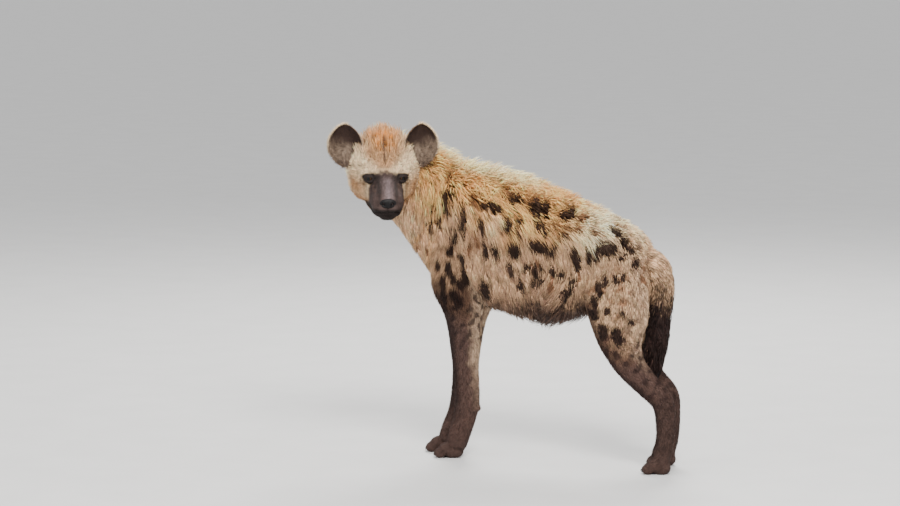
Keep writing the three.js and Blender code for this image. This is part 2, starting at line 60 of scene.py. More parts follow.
# The body was drawn with the breast near x 0.4 m. The left fore sole says where that drawing lies.
SOLE_DRAWN = Vector((0.284, 0.038, 0.0))
SOLE_PLACE = next(m["pos_m"] for m in frame["record"]["mounts"] if m["name"] == "sole_fore_left")
DRAWN_TO_ROW = Matrix.Translation(Vector(SOLE_PLACE) - SOLE_DRAWN)

# The head's own frame has its origin between the eyes and its X axis out through the nose
HEAD_PLACE = (412, 228, 811)
HEAD_TURN = 117
HEAD_NOD = 10.5
HEAD_FRAME = (
    Matrix.Translation(Vector(HEAD_PLACE) * MM)
    @ Matrix.Rotation(math.radians(HEAD_TURN), 4, "Z")
    @ Matrix.Rotation(math.radians(HEAD_NOD), 4, "Y")
)

# Each row: x, y, z, half width, reach up, reach down, and the coat's depth on top, side and below, in mm
TRUNK = (
    (-284, 0, 530, 44, 34, 36, 12, 10, 6),
    (-270, 0, 528, 72, 62, 70, 18, 14, 12),
    (-243, 0, 532, 92, 86, 94, 22, 14, 12),
    (-200, 0, 546, 103, 106, 104, 26, 14, 12),
    (-130, 0, 562, 105, 128, 106, 32, 16, 30),
    (-50, 0, 570, 112, 144, 138, 40, 18, 42),
    (40, 0, 580, 120, 162, 150, 46, 18, 36),
    (130, 0, 595, 122, 172, 156, 52, 18, 22),
    (215, 0, 612, 118, 170, 160, 56, 18, 16),
    (290, 0, 626, 106, 162, 156, 62, 18, 16),
    (348, 0, 620, 84, 128, 140, 56, 18, 18),
    (384, 0, 606, 54, 80, 84, 20, 14, 16),
    (398, 0, 600, 26, 36, 40, 8, 8, 8),
)
NECK = (
    (250, 0, 650, 94, 120, 126, 56, 18, 18),
    (325, 0, 694, 92, 106, 122, 62, 20, 18),
    (392, 15, 744, 86, 94, 98, 64, 22, 18),
    (440, 55, 784, 80, 82, 82, 64, 22, 18),
    (464, 105, 812, 76, 72, 74, 58, 20, 16),
    (461, 138, 822, 68, 60, 64, 30, 12, 10),
)
SKULL = (
    (-166, 0, -10, 30, 30, 30, 20, 10, 8),
    (-148, 0, -14, 60, 60, 58, 44, 16, 10),
    (-116, 0, -18, 78, 78, 70, 66, 22, 14),
    (-80, 0, -22, 84, 84, 74, 44, 22, 14),
    (-42, 0, -28, 80, 80, 68, 12, 12, 8),
    (-8, 0, -34, 69, 70, 54, 6, 6, 4),
    (25, 0, -40, 56, 57, 42, 3, 3, 2),
    (58, 0, -44, 49, 46, 38, 2, 2, 1),
    (88, 0, -46, 47, 38, 36, 1, 1, 1),
    (108, 0, -46, 42, 30, 35, 0, 0, 0),
    (120, 0, -47, 27, 18, 23, 0, 0, 0),
)
JAW = (
    (-80, 0, -66, 54, 20, 40, 0, 0, 0),
    (-20, 0, -70, 52, 20, 36, 0, 0, 0),
    (32, 0, -75, 43, 16, 26, 0, 0, 0),
    (72, 0, -79, 39, 14, 20, 0, 0, 0),
    (99, 0, -81, 33, 12, 16, 0, 0, 0),
    (108, 0, -80, 22, 8, 10, 0, 0, 0),
)
FORELEG = (
    (270, 34, 690, 30, 40, 46, 0, 0, 0),
    (268, 64, 610, 46, 66, 62, 0, 10, 0),
    (260, 70, 510, 50, 74, 66, 0, 14, 0),
    (250, 60, 440, 42, 60, 62, 0, 8, 0),
    (249, 52, 385, 36, 46, 47, 0, 0, 0),
    (247, 46, 310, 31, 39, 39, 0, 0, 0),
    (244, 41, 230, 28, 35, 35, 0, 0, 0),
    (242, 39, 165, 28, 35, 34, 0, 0, 0),
    (249, 38, 115, 25, 33, 29, 0, 0, 0),
    (263, 38, 70, 27, 33, 27, 0, 0, 0),
    (274, 38, 34, 29, 30, 26, 0, 0, 0),
)
HINDLEG = (
    (-212, 34, 620, 34, 56, 44, 0, 0, 0),
    (-216, 66, 540, 46, 90, 68, 0, 10, 8),
    (-219, 74, 450, 48, 90, 76, 0, 10, 12),
    (-221, 74, 375, 42, 62, 62, 0, 6, 8),
    (-248, 71, 305, 34, 44, 42, 0, 0, 0),
    (-298, 68, 248, 28, 34, 33, 0, 0, 0),
    (-344, 66, 202, 25, 30, 30, 0, 0, 0),
    (-354, 66, 150, 22, 27, 26, 0, 0, 0),
    (-353, 66, 92, 22, 25, 24, 0, 0, 0),
    (-345, 66, 56, 25, 28, 25, 0, 0, 0),
    (-340, 66, 32, 27, 26, 24, 0, 0, 0),
)
TAIL = (
    (-256, 0, 585, 26, 24, 26, 0, 0, 0),
    (-297, 0, 570, 22, 22, 21, 4, 4, 1),
    (-318, 0, 534, 18, 16, 15, 6, 6, 1),
    (-320, 0, 484, 16, 14, 14, 8, 8, 4),
    (-311, 0, 424, 13, 12, 12, 17, 16, 12),
    (-303, 0, 360, 10, 9, 9, 19, 18, 16),
    (-295, 0, 300, 7, 6, 6, 15, 14, 13),
    (-287, 0, 240, 3, 3, 3, 4, 4, 4),
)
EAR = (
    (-80, 103, 4, 8, 8, 3, 0, 0, 0),
    (-80, 105, 20, 31, 24, 4, 0, 0, 0),
    (-82, 107, 48, 46, 36, 4, 0, 0, 0),
    (-86, 108, 78, 49, 34, 4, 0, 0, 0),
    (-90, 108, 101, 39, 25, 4, 0, 0, 0),
    (-94, 109, 120, 21, 13, 4, 0, 0, 0),
    (-96, 110, 131, 5, 5, 3, 0, 0, 0),
)
EAR_PIVOT = Vector((-82, 107, 0))
EAR_OUTWARD = 16

# Exponent of the rounded sections, between an ellipse and a box
ROUNDNESS = 2.2

FORE_REACH_RIGHT = 58
HIND_REACH_RIGHT = 28
FORE_FOOT = (288, 38)
HIND_FOOT = (-338, 66)
FORE_PAW = (82, 68)
HIND_PAW = (80, 62)

EYE_PLACE = Vector((16, 43, 0))
EYE_OUTWARD = 28

# Spots of the left side: x, y, z of the middle, half length, half width, tilt from upright, and 1 for
# a brown spot or 0 for a black one
SPOTS = (
    (274, 77, 809, 15, 13, -9, 1), (282, 105, 754, 21, 13, 20, 0), (261, 110, 742, 17, 6, -13, 0),
    (269, 119, 707, 20, 9, 9, 0), (297, 117, 677, 17, 8, -24, 0), (320, 112, 704, 14, 6, -19, 0),
    (320, 112, 659, 20, 7, -24, 0), (339, 109, 664, 13, 5, -7, 0), (242, 131, 639, 20, 7, -14, 0),
    (256, 129, 602, 20, 8, -8, 0), (268, 131, 593, 14, 7, 6, 0), (217, 130, 671, 42, 11, 6, 0),
    (202, 137, 608, 18, 6, -18, 1), (175, 136, 628, 17, 5, 15, 1), (159, 133, 671, 17, 12, 2, 0),
    (147, 139, 605, 22, 9, 18, 0), (121, 139, 600, 20, 10, 28, 0), (190, 115, 737, 24, 13, 42, 1),
    (158, 119, 725, 14, 9, 16, 0), (132, 118, 726, 18, 11, -88, 0), (116, 120, 716, 15, 10, 63, 0),
    (102, 96, 761, 14, 8, 81, 1), (78, 97, 754, 19, 14, 81, 0), (27, 76, 761, 20, 11, -77, 1),
    (14, 103, 721, 20, 17, 2, 0), (-13, 97, 718, 22, 13, 16, 0), (85, 132, 671, 17, 10, 15, 0),
    (54, 128, 672, 31, 8, 9, 0), (1, 121, 673, 14, 6, 23, 0), (-19, 121, 663, 14, 7, 19, 0),
    (-50, 115, 663, 13, 6, 13, 1), (65, 137, 603, 21, 17, 33, 0), (76, 135, 549, 19, 9, 25, 0),
    (9, 132, 621, 19, 11, 27, 0), (-11, 130, 616, 19, 11, 17, 0), (-26, 129, 614, 14, 8, 6, 0),
    (-47, 127, 615, 19, 8, -11, 0), (31, 135, 562, 11, 9, 9, 0), (16, 135, 568, 11, 7, -2, 1),
    (4, 132, 546, 17, 7, 4, 0), (15, 129, 512, 13, 9, -6, 0), (-8, 129, 522, 11, 9, -2, 0),
    (-15, 132, 561, 8, 5, -1, 0), (-4, 134, 575, 8, 6, 1, 1), (51, 128, 505, 19, 10, 7, 0),
    (303, 127, 555, 14, 10, -4, 0), (225, 131, 570, 20, 9, 9, 0), (268, 136, 552, 23, 9, 2, 0),
    (252, 132, 524, 23, 7, 9, 0), (284, 127, 508, 23, 11, 2, 0), (215, 126, 536, 27, 9, 0, 0),
    (225, 123, 507, 18, 15, 0, 0), (255, 124, 472, 21, 9, 7, 0), (285, 116, 467, 22, 9, -4, 0),
    (238, 113, 452, 18, 11, -2, 0), (161, 111, 484, 33, 16, -3, 0), (379, 70, 593, 18, 5, -31, 1),
    (341, 97, 589, 14, 7, 9, 1), (-61, 83, 719, 17, 14, 2, 0), (-77, 69, 724, 24, 14, -8, 0),
    (-113, 64, 713, 15, 13, -65, 1), (-73, 99, 690, 11, 6, -89, 1), (-109, 95, 680, 14, 6, -78, 1),
    (-161, 92, 663, 17, 9, 79, 1), (-73, 116, 651, 16, 7, -48, 0), (-108, 122, 586, 36, 11, 17, 0),
    (-145, 117, 599, 19, 7, 7, 0), (-181, 108, 618, 22, 14, -33, 0), (-203, 106, 616, 18, 15, -58, 0),
    (-169, 115, 597, 16, 6, -4, 0), (-210, 66, 666, 23, 9, 36, 0), (-210, 34, 684, 10, 9, 27, 1),
    (-235, 71, 647, 12, 8, 80, 0), (-246, 78, 629, 14, 7, 78, 0), (-261, 81, 622, 12, 9, 57, 0),
    (-236, 107, 604, 16, 8, -38, 0), (-277, 85, 584, 17, 10, -26, 0), (-270, 60, 565, 12, 7, 20, 1),
    (-276, 70, 531, 16, 9, 30, 1), (-197, 124, 535, 16, 8, 10, 0), (-228, 125, 537, 12, 7, 12, 0),
    (-244, 121, 543, 11, 5, 6, 0), (-176, 124, 507, 22, 11, 5, 0), (-164, 122, 470, 22, 10, 5, 0),
    (-159, 115, 441, 14, 22, -8, 0), (-98, 119, 519, 17, 7, 9, 0), (-116, 119, 534, 11, 6, 3, 1),
    (-46, 128, 551, 14, 9, 40, 0), (-68, 125, 541, 14, 10, 61, 0), (-204, 129, 451, 12, 9, -1, 0),
    (-249, 126, 447, 11, 6, 0, 0), (-272, 117, 423, 10, 6, 6, 0), (-189, 119, 394, 26, 14, -4, 0),
    (-228, 122, 385, 25, 14, 4, 0), (-76, 112, 487, 19, 11, -21, 0), (-36, 125, 509, 15, 9, -5, 1),
)


# Sizes and colours, which the sidebar shows
class HyenaBodySizes(bpy.types.PropertyGroup):
    """Sizes of the skin, the eyes and the claws."""

    voxel: FloatProperty(
        name="Skin voxel", description="Edge of the cells that join the body's forms into one skin",
        default=4.2 * MM, min=2 * MM, unit="LENGTH",
    )
    eye_radius: FloatProperty(
        name="Eye radius", description="Radius of an eyeball", default=13 * MM, min=5 * MM, unit="LENGTH",
    )
    lid_thickness: FloatProperty(
        name="Lid thickness", description="How far a lid's edge stands off the eye",
        default=1.8 * MM, min=0.5 * MM, unit="LENGTH",
    )
    ear_wall: FloatProperty(
        name="Ear wall", description="Thickness of the ear", default=4 * MM, min=1 * MM, unit="LENGTH",
    )
    claw_length: FloatProperty(
        name="Claw length", description="Length of a claw from its root", default=9.5 * MM, unit="LENGTH",
    )


class HyenaCoatSizes(bpy.types.PropertyGroup):
    """How dense, long and unruly the coat is."""

    seed: IntProperty(name="Seed", description="Seed of every random draw in the coat", default=7)
    density: FloatProperty(
        name="Density", description="Share of the full number of tufts", default=1.0, min=0.05, max=1.0,
    )
    stray: FloatProperty(
        name="Stray", description="How far a tuft turns off the lie of the coat",
        default=math.radians(11), subtype="ANGLE",
    )
    clump: FloatProperty(
        name="Clump", description="How much long tufts draw together at their tips",
        default=0.55, min=0.0, max=1.0, subtype="FACTOR",
    )


def coat_colour(name, description, default):
    return FloatVectorProperty(
        name=name, description=description, default=default, size=3, subtype="COLOR_GAMMA", min=0, max=1,
    )


class HyenaCoatColours(bpy.types.PropertyGroup):
    """Colours of the coat, as a screen shows them."""

    mane: coat_colour("Mane", "Nape, withers and upper back", (0.91, 0.675, 0.43))
    mane_tip: coat_colour("Mane tips", "Pale ends of the longest hair", (0.98, 0.88, 0.68))
    flank: coat_colour("Flank", "Sides of the body", (0.76, 0.61, 0.48))
    low_flank: coat_colour("Lower flank", "Sides near the belly", (0.45, 0.355, 0.295))
    # The rump's pale tone is partly its pale hair and partly painted light where the sun falls on the top of the
    # rump
    rump: coat_colour("Rump", "Loin and top of the rump", (0.98, 0.87, 0.70))
    haunch: coat_colour("Haunch", "Sides of the rump and the thighs", (0.77, 0.63, 0.50))
    spot: coat_colour("Spots", "Black-brown spots", (0.185, 0.13, 0.115))
    brown_spot: coat_colour("Brown spots", "Fainter spots", (0.42, 0.27, 0.18))
    dark: coat_colour("Dark hair", "Belly fringe, tail tuft and leg fronts", (0.20, 0.145, 0.135))
    leg: coat_colour("Legs", "Lower legs", (0.345, 0.265, 0.24))
    elbow: coat_colour("Upper legs", "Elbows and knees", (0.43, 0.325, 0.265))
    leg_back: coat_colour("Leg backs", "Paler hind edges of the legs", (0.80, 0.68, 0.57))
    crown: coat_colour("Crown", "Rufous hair between the ears", (0.84, 0.50, 0.11))
    crown_tip: coat_colour("Crown tips", "Pale ends of the hair between the ears", (0.93, 0.76, 0.42))
    forehead: coat_colour("Forehead", "Middle of the forehead", (0.73, 0.57, 0.42))
    temple: coat_colour("Temples", "Cream sides of the forehead and cheeks", (0.93, 0.82, 0.67))
    cheek: coat_colour("Cheeks", "Browner patches under the eyes", (0.68, 0.51, 0.36))
    muzzle: coat_colour("Muzzle", "Dark muzzle and eye surrounds", (0.325, 0.265, 0.25))
    # The nose bridge's grey is partly greyer hair and partly a painted sheen on the top of the muzzle
    bridge: coat_colour("Nose bridge", "Greyer hair along the nose", (0.52, 0.455, 0.46))


class HyenaStageSizes(bpy.types.PropertyGroup):
    """Sizes of the floor and the camera's place."""

    distance: FloatProperty(
        name="Distance", description="Floor distance from the camera to the hyena", default=9.0, unit="LENGTH",
    )
    height: FloatProperty(
        name="Camera height", description="Height of the camera over the floor", default=1.63, unit="LENGTH",
    )
    azimuth: FloatProperty(
        name="Azimuth", description="Where the camera stands round the hyena",
        default=math.radians(200), subtype="ANGLE",
    )


# Small tools for numbers
def smoothstep(low, high, value):
    t = np.clip((value - low) / (high - low), 0, 1)
    return t * t * (3 - 2 * t)


def bell(value, middle, spread):
    return np.exp(-((value - middle) / spread) ** 2)


def unit(vectors):
    return vectors / np.maximum(np.linalg.norm(vectors, axis=-1, keepdims=True), 1e-9)


def placed(matrix, points):
    matrix = np.array(matrix)
    return points @ matrix[:3, :3].T + matrix[:3, 3]


def wobble(points, size, turn=0.0):
    """A smooth number from about -1 to 1 that varies over a length of about size."""
    q = points * (2 * math.pi / size)
    x, y, z = q[:, 0] + turn, q[:, 1] + 1.7 * turn, q[:, 2] - 0.6 * turn
    wave = np.sin(x + 1.3 * np.sin(0.7 * y + 0.4) + 0.5 * z)
    wave += np.sin(0.9 * y - 1.1 * np.sin(0.8 * z + 1.9) + 0.4 * x)
    wave += np.sin(1.1 * z + 1.2 * np.sin(0.9 * x + 2.6) - 0.5 * y)
    return wave / 2


def linear(colour):
    return np.asarray(colour, dtype=float) ** 2.2


class Form:
    """A closed tube of rounded sections through stations along its middle line."""

    def __init__(self, rows, upward=(0, 0, 1), place=DRAWN_TO_ROW, core=0.0):
        self.rows = np.array(rows, dtype=float) * MM
        self.upward = np.array(upward, dtype=float)
        self.place = place
        self.core = core

    def at(self, u):
        """Every column of the stations at u, from 0 to 1, on a smooth curve."""
        spans = len(self.rows) - 1
        place = np.clip(u, 0, 1) * spans
        i = np.minimum(place.astype(int), spans - 1)
        t = (place - i)[:, None]
        before, here = self.rows[np.maximum(i - 1, 0)], self.rows[i]
        after, later = self.rows[i + 1], self.rows[np.minimum(i + 2, spans)]
        square = 2 * before - 5 * here + 4 * after - later
        cube = 3 * here - before - 3 * after + later
        return 0.5 * (2 * here + (after - before) * t + square * t * t + cube * t ** 3)

    def surface(self, u, angle, share=None):
        """Points at a share of the coat's depth, or on the skin. Angle 0 is the side and 90 the top."""
        share = self.core if share is None else share
        u, angle = np.broadcast_arrays(np.atleast_1d(u).astype(float), np.atleast_1d(angle).astype(float))
        row = self.at(u)
        along = unit(self.at(np.minimum(u + 0.02, 1))[:, :3] - self.at(np.maximum(u - 0.02, 0))[:, :3])
        across = unit(np.cross(self.upward, along))
        rise = np.cross(along, across)
        cosine, sine = np.cos(np.radians(angle)), np.sin(np.radians(angle))
        sideways = np.sign(cosine) * np.abs(cosine) ** (2 / ROUNDNESS)
        upwards = np.sign(sine) * np.abs(sine) ** (2 / ROUNDNESS)
        half = row[:, 3] + share * row[:, 7]
        reach = np.where(sine > 0, row[:, 4] + share * row[:, 6], row[:, 5] + share * row[:, 8])
        points = row[:, :3] + across * (sideways * half)[:, None] + rise * (upwards * reach)[:, None]
        return placed(self.place, points)


def mirrored(rows, reach=None):
    return [
        (row[0] + (reach(row[2]) if reach else 0), -row[1], *row[2:])
        for row in rows
    ]


def fore_reach(height):
    return FORE_REACH_RIGHT * (1 - min(max(height / 620, 0), 1))


def hind_reach(height):
    return HIND_REACH_RIGHT * (1 - float(smoothstep(220, 470, np.array(height))))


HEAD_TO_ROW = DRAWN_TO_ROW @ HEAD_FRAME
FORWARD = (1, 0, 0)
FORMS = {
    "trunk": Form(TRUNK),
    "neck": Form(NECK),
    "skull": Form(SKULL, place=HEAD_TO_ROW),
    "jaw": Form(JAW, place=HEAD_TO_ROW),
    "foreleg_left": Form(FORELEG, FORWARD),
    "foreleg_right": Form(mirrored(FORELEG, fore_reach), FORWARD),
    "hindleg_left": Form(HINDLEG, FORWARD),
    "hindleg_right": Form(mirrored(HINDLEG, hind_reach), FORWARD),
    "tail": Form(TAIL, (-1, 0, 0), core=0.5),
}
FORM_NAMES = list(FORMS)
PAWS = {
    "forepaw_left": ((FORE_FOOT[0], FORE_FOOT[1]), FORE_PAW),
    "forepaw_right": ((FORE_FOOT[0] + FORE_REACH_RIGHT, -FORE_FOOT[1] - 4), FORE_PAW),
    "hindpaw_left": ((HIND_FOOT[0], HIND_FOOT[1]), HIND_PAW),
    "hindpaw_right": ((HIND_FOOT[0] + HIND_REACH_RIGHT, -HIND_FOOT[1]), HIND_PAW),
}


# Modelling tools
def tube(bm, rings, closed=False):
    """Rings of points bridged one to the next, with capped ends or with the last joined to the first."""
    loops = []
    for i, points in enumerate(rings):
        capped = not closed and i in (0, len(rings) - 1)
        verts = bmesh.ops.create_circle(bm, cap_ends=capped, radius=1, segments=len(points))["verts"]
        for vert, point in zip(verts, points):
            vert.co = point
        loops.append(list(dict.fromkeys(edge for vert in verts for edge in vert.link_edges)))
    following = loops[1:] + loops[:1] if closed else loops[1:]
    for first, second in zip(loops, following):
        bmesh.ops.bridge_loops(bm, edges=first + second)


def ball(bm, at, radii, turn=0.0, tilt=0.0, place=DRAWN_TO_ROW, segments=24, rings=16):
    """A ball stretched to three radii in mm, turned about Z, tilted about Y and set in a frame."""
    matrix = place @ (
        Matrix.Translation(Vector(at) * MM)
        @ Matrix.Rotation(math.radians(turn), 4, "Z")
        @ Matrix.Rotation(math.radians(tilt), 4, "Y")
        @ Matrix.Diagonal((*(Vector(radii) * MM), 1))
    )
    return bmesh.ops.create_uvsphere(bm, u_segments=segments, v_segments=rings, radius=1, matrix=matrix)["verts"]


def new_piece(name, bm, material):
    """A finished object from a bmesh."""
    mesh = bpy.data.meshes.new(name)
    bmesh.ops.recalc_face_normals(bm, faces=bm.faces)
    bm.to_mesh(mesh)
    bm.free()
    return finished(name, mesh, material)


def finished(name, mesh, material):
    """A smooth finished object in the scene, riding on the body."""
    piece = bpy.data.objects.new(name, mesh)
    bpy.context.scene.collection.objects.link(piece)
    mesh.materials.append(material)
    mesh.polygons.foreach_set("use_smooth", [True] * len(mesh.polygons))
    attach(piece, "root")
    return piece


def repeated_mesh(name, verts, faces):
    """A mesh of many like small shapes: verts holds each one's corners, and faces are one shape's triangles."""
    count, corners = verts.shape[:2]
    loops = (np.array(faces)[None] + (np.arange(count) * corners)[:, None, None]).ravel().astype(np.int32)
    mesh = bpy.data.meshes.new(name)
    mesh.vertices.add(count * corners)
    mesh.vertices.foreach_set("co", verts.astype(np.float32).ravel())
    mesh.loops.add(len(loops))
    mesh.loops.foreach_set("vertex_index", loops)
    mesh.polygons.add(len(loops) // 3)
    mesh.polygons.foreach_set("loop_start", np.arange(0, len(loops), 3, dtype=np.int32))
    mesh.update(calc_edges=True)
    mesh.validate()
    return mesh, loops


def set_colours(mesh, rgb, domain="POINT"):
    """Colours in linear light for a mesh's points or corners, kept off pure black and white."""
    rgba = np.ones((*np.shape(rgb)[:-1], 4), dtype=np.float32)
    rgba[..., :3] = np.clip(rgb, 0.002, 0.95)
    layer = mesh.color_attributes.new("coat_colour", "FLOAT_COLOR", domain)
    layer.data.foreach_set("color", rgba.ravel())


def set_places(mesh, verts):
    mesh.vertices.foreach_set("co", verts.astype(np.float32).ravel())
    mesh.update()


def toe_gaps(drawn):
    """A mask of the gaps between the toes, at points in mm."""
    gaps = np.zeros(len(drawn))
    for (foot_x, foot_y), (length, width) in PAWS.values():
        ahead, aside = drawn[:, 0] - foot_x, drawn[:, 1] - foot_y
        near = (np.abs(aside) < width * 0.7) & (drawn[:, 2] < 60) & (np.abs(ahead) < length)
        for gap in (-1, 0, 1):
            line = gap * width * 0.26
            groove = bell(aside - line, 0, 2.0) * smoothstep(0.1 * length, 0.34 * length, ahead)
            gaps = np.maximum(gaps, near * groove)
    return gaps


def remade(mesh, kind, **settings):
    """The mesh that a modifier makes of a mesh."""
    draft = bpy.data.objects.new("draft", mesh)
    bpy.context.scene.collection.objects.link(draft)
    modifier = draft.modifiers.new("remade", kind)
    for setting, value in settings.items():
        setattr(modifier, setting, value)
    depsgraph = bpy.context.evaluated_depsgraph_get()
    mesh = bpy.data.meshes.new_from_object(draft.evaluated_get(depsgraph))
    bpy.data.objects.remove(draft)
    return mesh


def set_patches(mesh, coords):
    layer = mesh.uv_layers.new(name="OFBake")
    layer.uv.foreach_set("vector", coords.astype(np.float32).ravel())


def mesh_arrays(mesh):
    """Vertices, normals, triangles and edges of a mesh as arrays."""
    def read(items, name, width, kind):
        values = np.empty(len(items) * width, dtype=kind)
        items.foreach_get(name, values)
        return values.reshape(-1, width)

    mesh.calc_loop_triangles()
    return (
        read(mesh.vertices, "co", 3, np.float32).astype(float),
        read(mesh.vertices, "normal", 3, np.float32).astype(float),
        read(mesh.loop_triangles, "vertices", 3, np.int32),
        read(mesh.edges, "vertices", 2, np.int32),
    )


def search_tree(points):
    tree = KDTree(len(points))
    for index, point in enumerate(points):
        tree.insert(point, index)
    tree.balance()
    return tree


def triangle_areas(corners):
    return np.linalg.norm(np.cross(corners[:, 1] - corners[:, 0], corners[:, 2] - corners[:, 0]), axis=1) / 2


def scattered(rng, number):
    """The triangle and the place in it of each tuft, for a wanted number of tufts in each triangle."""
    number = np.floor(number + rng.random(len(number))).astype(int)
    owner = np.repeat(np.arange(len(number)), number)
    share = rng.random((len(owner), 2))
    share = np.where(share.sum(1, keepdims=True) > 1, 1 - share, share)
    return owner, np.column_stack((1 - share.sum(1), share))


def spread_out(values, edges, rounds, hold=0.5):
    """Each row of values is drawn towards the mean of its neighbours, round after round."""
    values = values.astype(float)
    count = len(values)
    near = np.bincount(edges.ravel(), minlength=count).clip(1)
    for _ in range(rounds):
        total = np.zeros_like(values)
        for column in range(values.shape[1]):
            total[:, column] = np.bincount(edges[:, 0], values[edges[:, 1], column], count)
            total[:, column] += np.bincount(edges[:, 1], values[edges[:, 0], column], count)
        values = hold * values + (1 - hold) * total / near[:, None]
    return values


# The skin
def paw_balls(bm, foot, size):
    """Heel, four bent toes and their knuckles."""
    length, width = size
    place = DRAWN_TO_ROW @ Matrix.Translation((foot[0] * MM, foot[1] * MM, 0))
    ball(bm, (-3, 0, 18), (length * 0.36, width * 0.41, 21), place=place)
    for toe in range(4):
        spread = toe - 1.5
        forward = length * (0.32 if abs(spread) > 1 else 0.42)
        out = spread * width * 0.26
        ball(bm, (forward + 1, out, 13), (length * 0.21, width * 0.145, 14), spread * 7, 10, place)
        ball(bm, (forward - 13, out * 0.92, 27), (length * 0.22, width * 0.14, 15), spread * 7, 30, place)


def wrist_pads(bm):
    """The small bare pad behind each wrist."""
    for side, reach in ((1, 0), (-1, fore_reach(146))):
        ball(bm, (209 + reach, side * 40, 146), (9, 8, 10))


def head_balls(bm):
    """Brows, cheeks, whisker pads and the roots of the ears."""
    for side in (1, -1):
        ball(bm, (0, side * 40, 9), (26, 26, 8), side * EYE_OUTWARD, -14, HEAD_TO_ROW)
        ball(bm, (16, side * 43, 0), (16, 16, 14), place=HEAD_TO_ROW)
        ball(bm, (84, side * 20, -60), (26, 22, 18), side * 12, 8, HEAD_TO_ROW)
        ball(bm, (-98, side * 80, 12), (18, 16, 18), place=HEAD_TO_ROW)


def skin_forms():
    bm = bmesh.new()
    angles = np.arange(40) * 9.0
    for form in FORMS.values():
        tube(bm, [form.surface(u, angles) for u in np.linspace(0, 1, 44)])
    for foot, size in PAWS.values():
        paw_balls(bm, foot, size)
    wrist_pads(bm)
    head_balls(bm)
    bmesh.ops.recalc_face_normals(bm, faces=bm.faces)
    return bm


# Share of itself that each vertex keeps in a round, and rounds: drawn in, pushed out again, drawn in
SMOOTHING = ((0.4, 3), (1.4, 3), (0.4, 2))


def joined_skin(voxel):
    """The forms joined into one surface and smoothed, with finer faces on the face and the paws."""
    bm = skin_forms()
    mesh = bpy.data.meshes.new("hyena_skin")
    bm.to_mesh(mesh)
    bm.free()
    mesh = remade(mesh, "REMESH", mode="VOXEL", voxel_size=voxel)
    verts, _, _, edges = mesh_arrays(mesh)
    for hold, rounds in SMOOTHING:
        verts = spread_out(verts, edges, rounds, hold)
    set_places(mesh, verts)
    bm = bmesh.new()
    bm.from_mesh(mesh)
    centres = np.array([face.calc_center_median() for face in bm.faces])
    fine = on_face(placed(HEAD_TO_ROW.inverted(), centres) / MM, -24) | (centres[:, 2] < 52 * MM)
    bm.faces.ensure_lookup_table()
    edges = {edge for index in np.nonzero(fine)[0] for edge in bm.faces[int(index)].edges}
    bmesh.ops.subdivide_edges(bm, edges=list(edges), cuts=1, use_grid_fill=True)
    bm.to_mesh(mesh)
    bm.free()
    return mesh


def on_face(head, start):
    """Whether points in the head's frame lie before start and near the head, since the frame's
    X axis also runs along the body."""
    return (head[:, 0] > start) & (head[:, 0] < 140) & (np.abs(head[:, 2]) < 130)


def mouth_height(x):
    """Height of the mouth line in the head's frame, from the lip's corner to the front."""
    return np.interp(x, (-22, 10, 50, 80, 104, 112), (-77, -76, -75, -74.5, -73, -72))


def eye_reach(head, side, wide=1.0, tall=1.0):
    """How far points of the head lie off an eye's axis, with 1 at an almond of the given half sizes in mm."""
    offset = head - np.array((EYE_PLACE.x, side * EYE_PLACE.y, EYE_PLACE.z))
    turn = math.radians(side * EYE_OUTWARD)
    gaze = offset[:, 0] * math.cos(turn) + offset[:, 1] * math.sin(turn)
    sideways = -offset[:, 0] * math.sin(turn) + offset[:, 1] * math.cos(turn)
    return np.hypot(sideways / wide, offset[:, 2] / tall), gaze


def sculpted(verts, normals):
    """Sockets, mouth, lips, chin, philtrum and the gaps between the toes pressed into the skin."""
    verts = verts.copy()
    head = placed(HEAD_TO_ROW.inverted(), verts) / MM
    hx, hy, hz = head.T
    wide = np.abs(hy)
    front = smoothstep(-26, 0, hx)
    off_line = hz - mouth_height(hx)
    depth = bell(off_line, 0, 2.0) * front * 4.2
    depth -= (bell(off_line, 6, 4.5) + 0.6 * bell(off_line, -5, 4)) * front * 1.6
    philtrum = bell(hy, 0, 1.7) * smoothstep(96, 108, hx) * smoothstep(-52, -58, hz)
    depth += philtrum * smoothstep(-74, -70, hz) * 2.6
    depth += bell(hy, 0, 13) * bell(hx, 26, 20) * smoothstep(-30, 0, hz) * 2.2
    depth += bell(hx, 66, 30) * smoothstep(22, 36, wide) * smoothstep(-72, -56, hz) * smoothstep(6, -12, hz) * 4.0
    depth += smoothstep(98, 108, hx) * bell(hy, 0, 21) * bell(hz, -45, 15) * 6.0
    depth += smoothstep(-80, -96, hz) * smoothstep(10, 30, wide) * smoothstep(50, 80, hx) * 7.0
    depth += bell(wide, 30, 7) * bell(hx, 44, 18) * smoothstep(-30, -8, hz) * 1.8
    for side in (1, -1):
        reach, gaze = eye_reach(head, side, 16.5, 12.5)
        hollow = smoothstep(1.15, 0.85, reach) * (gaze > 0)
        depth = np.where(gaze > -6, depth + hollow * 14, depth)
    depth *= on_face(head, -30)
    depth += toe_gaps(placed(DRAWN_TO_ROW.inverted(), verts) / MM) * 3.0
    verts -= normals * (depth * MM)[:, None]
    verts[:, 2] = np.maximum(verts[:, 2], 0.0)
    return verts


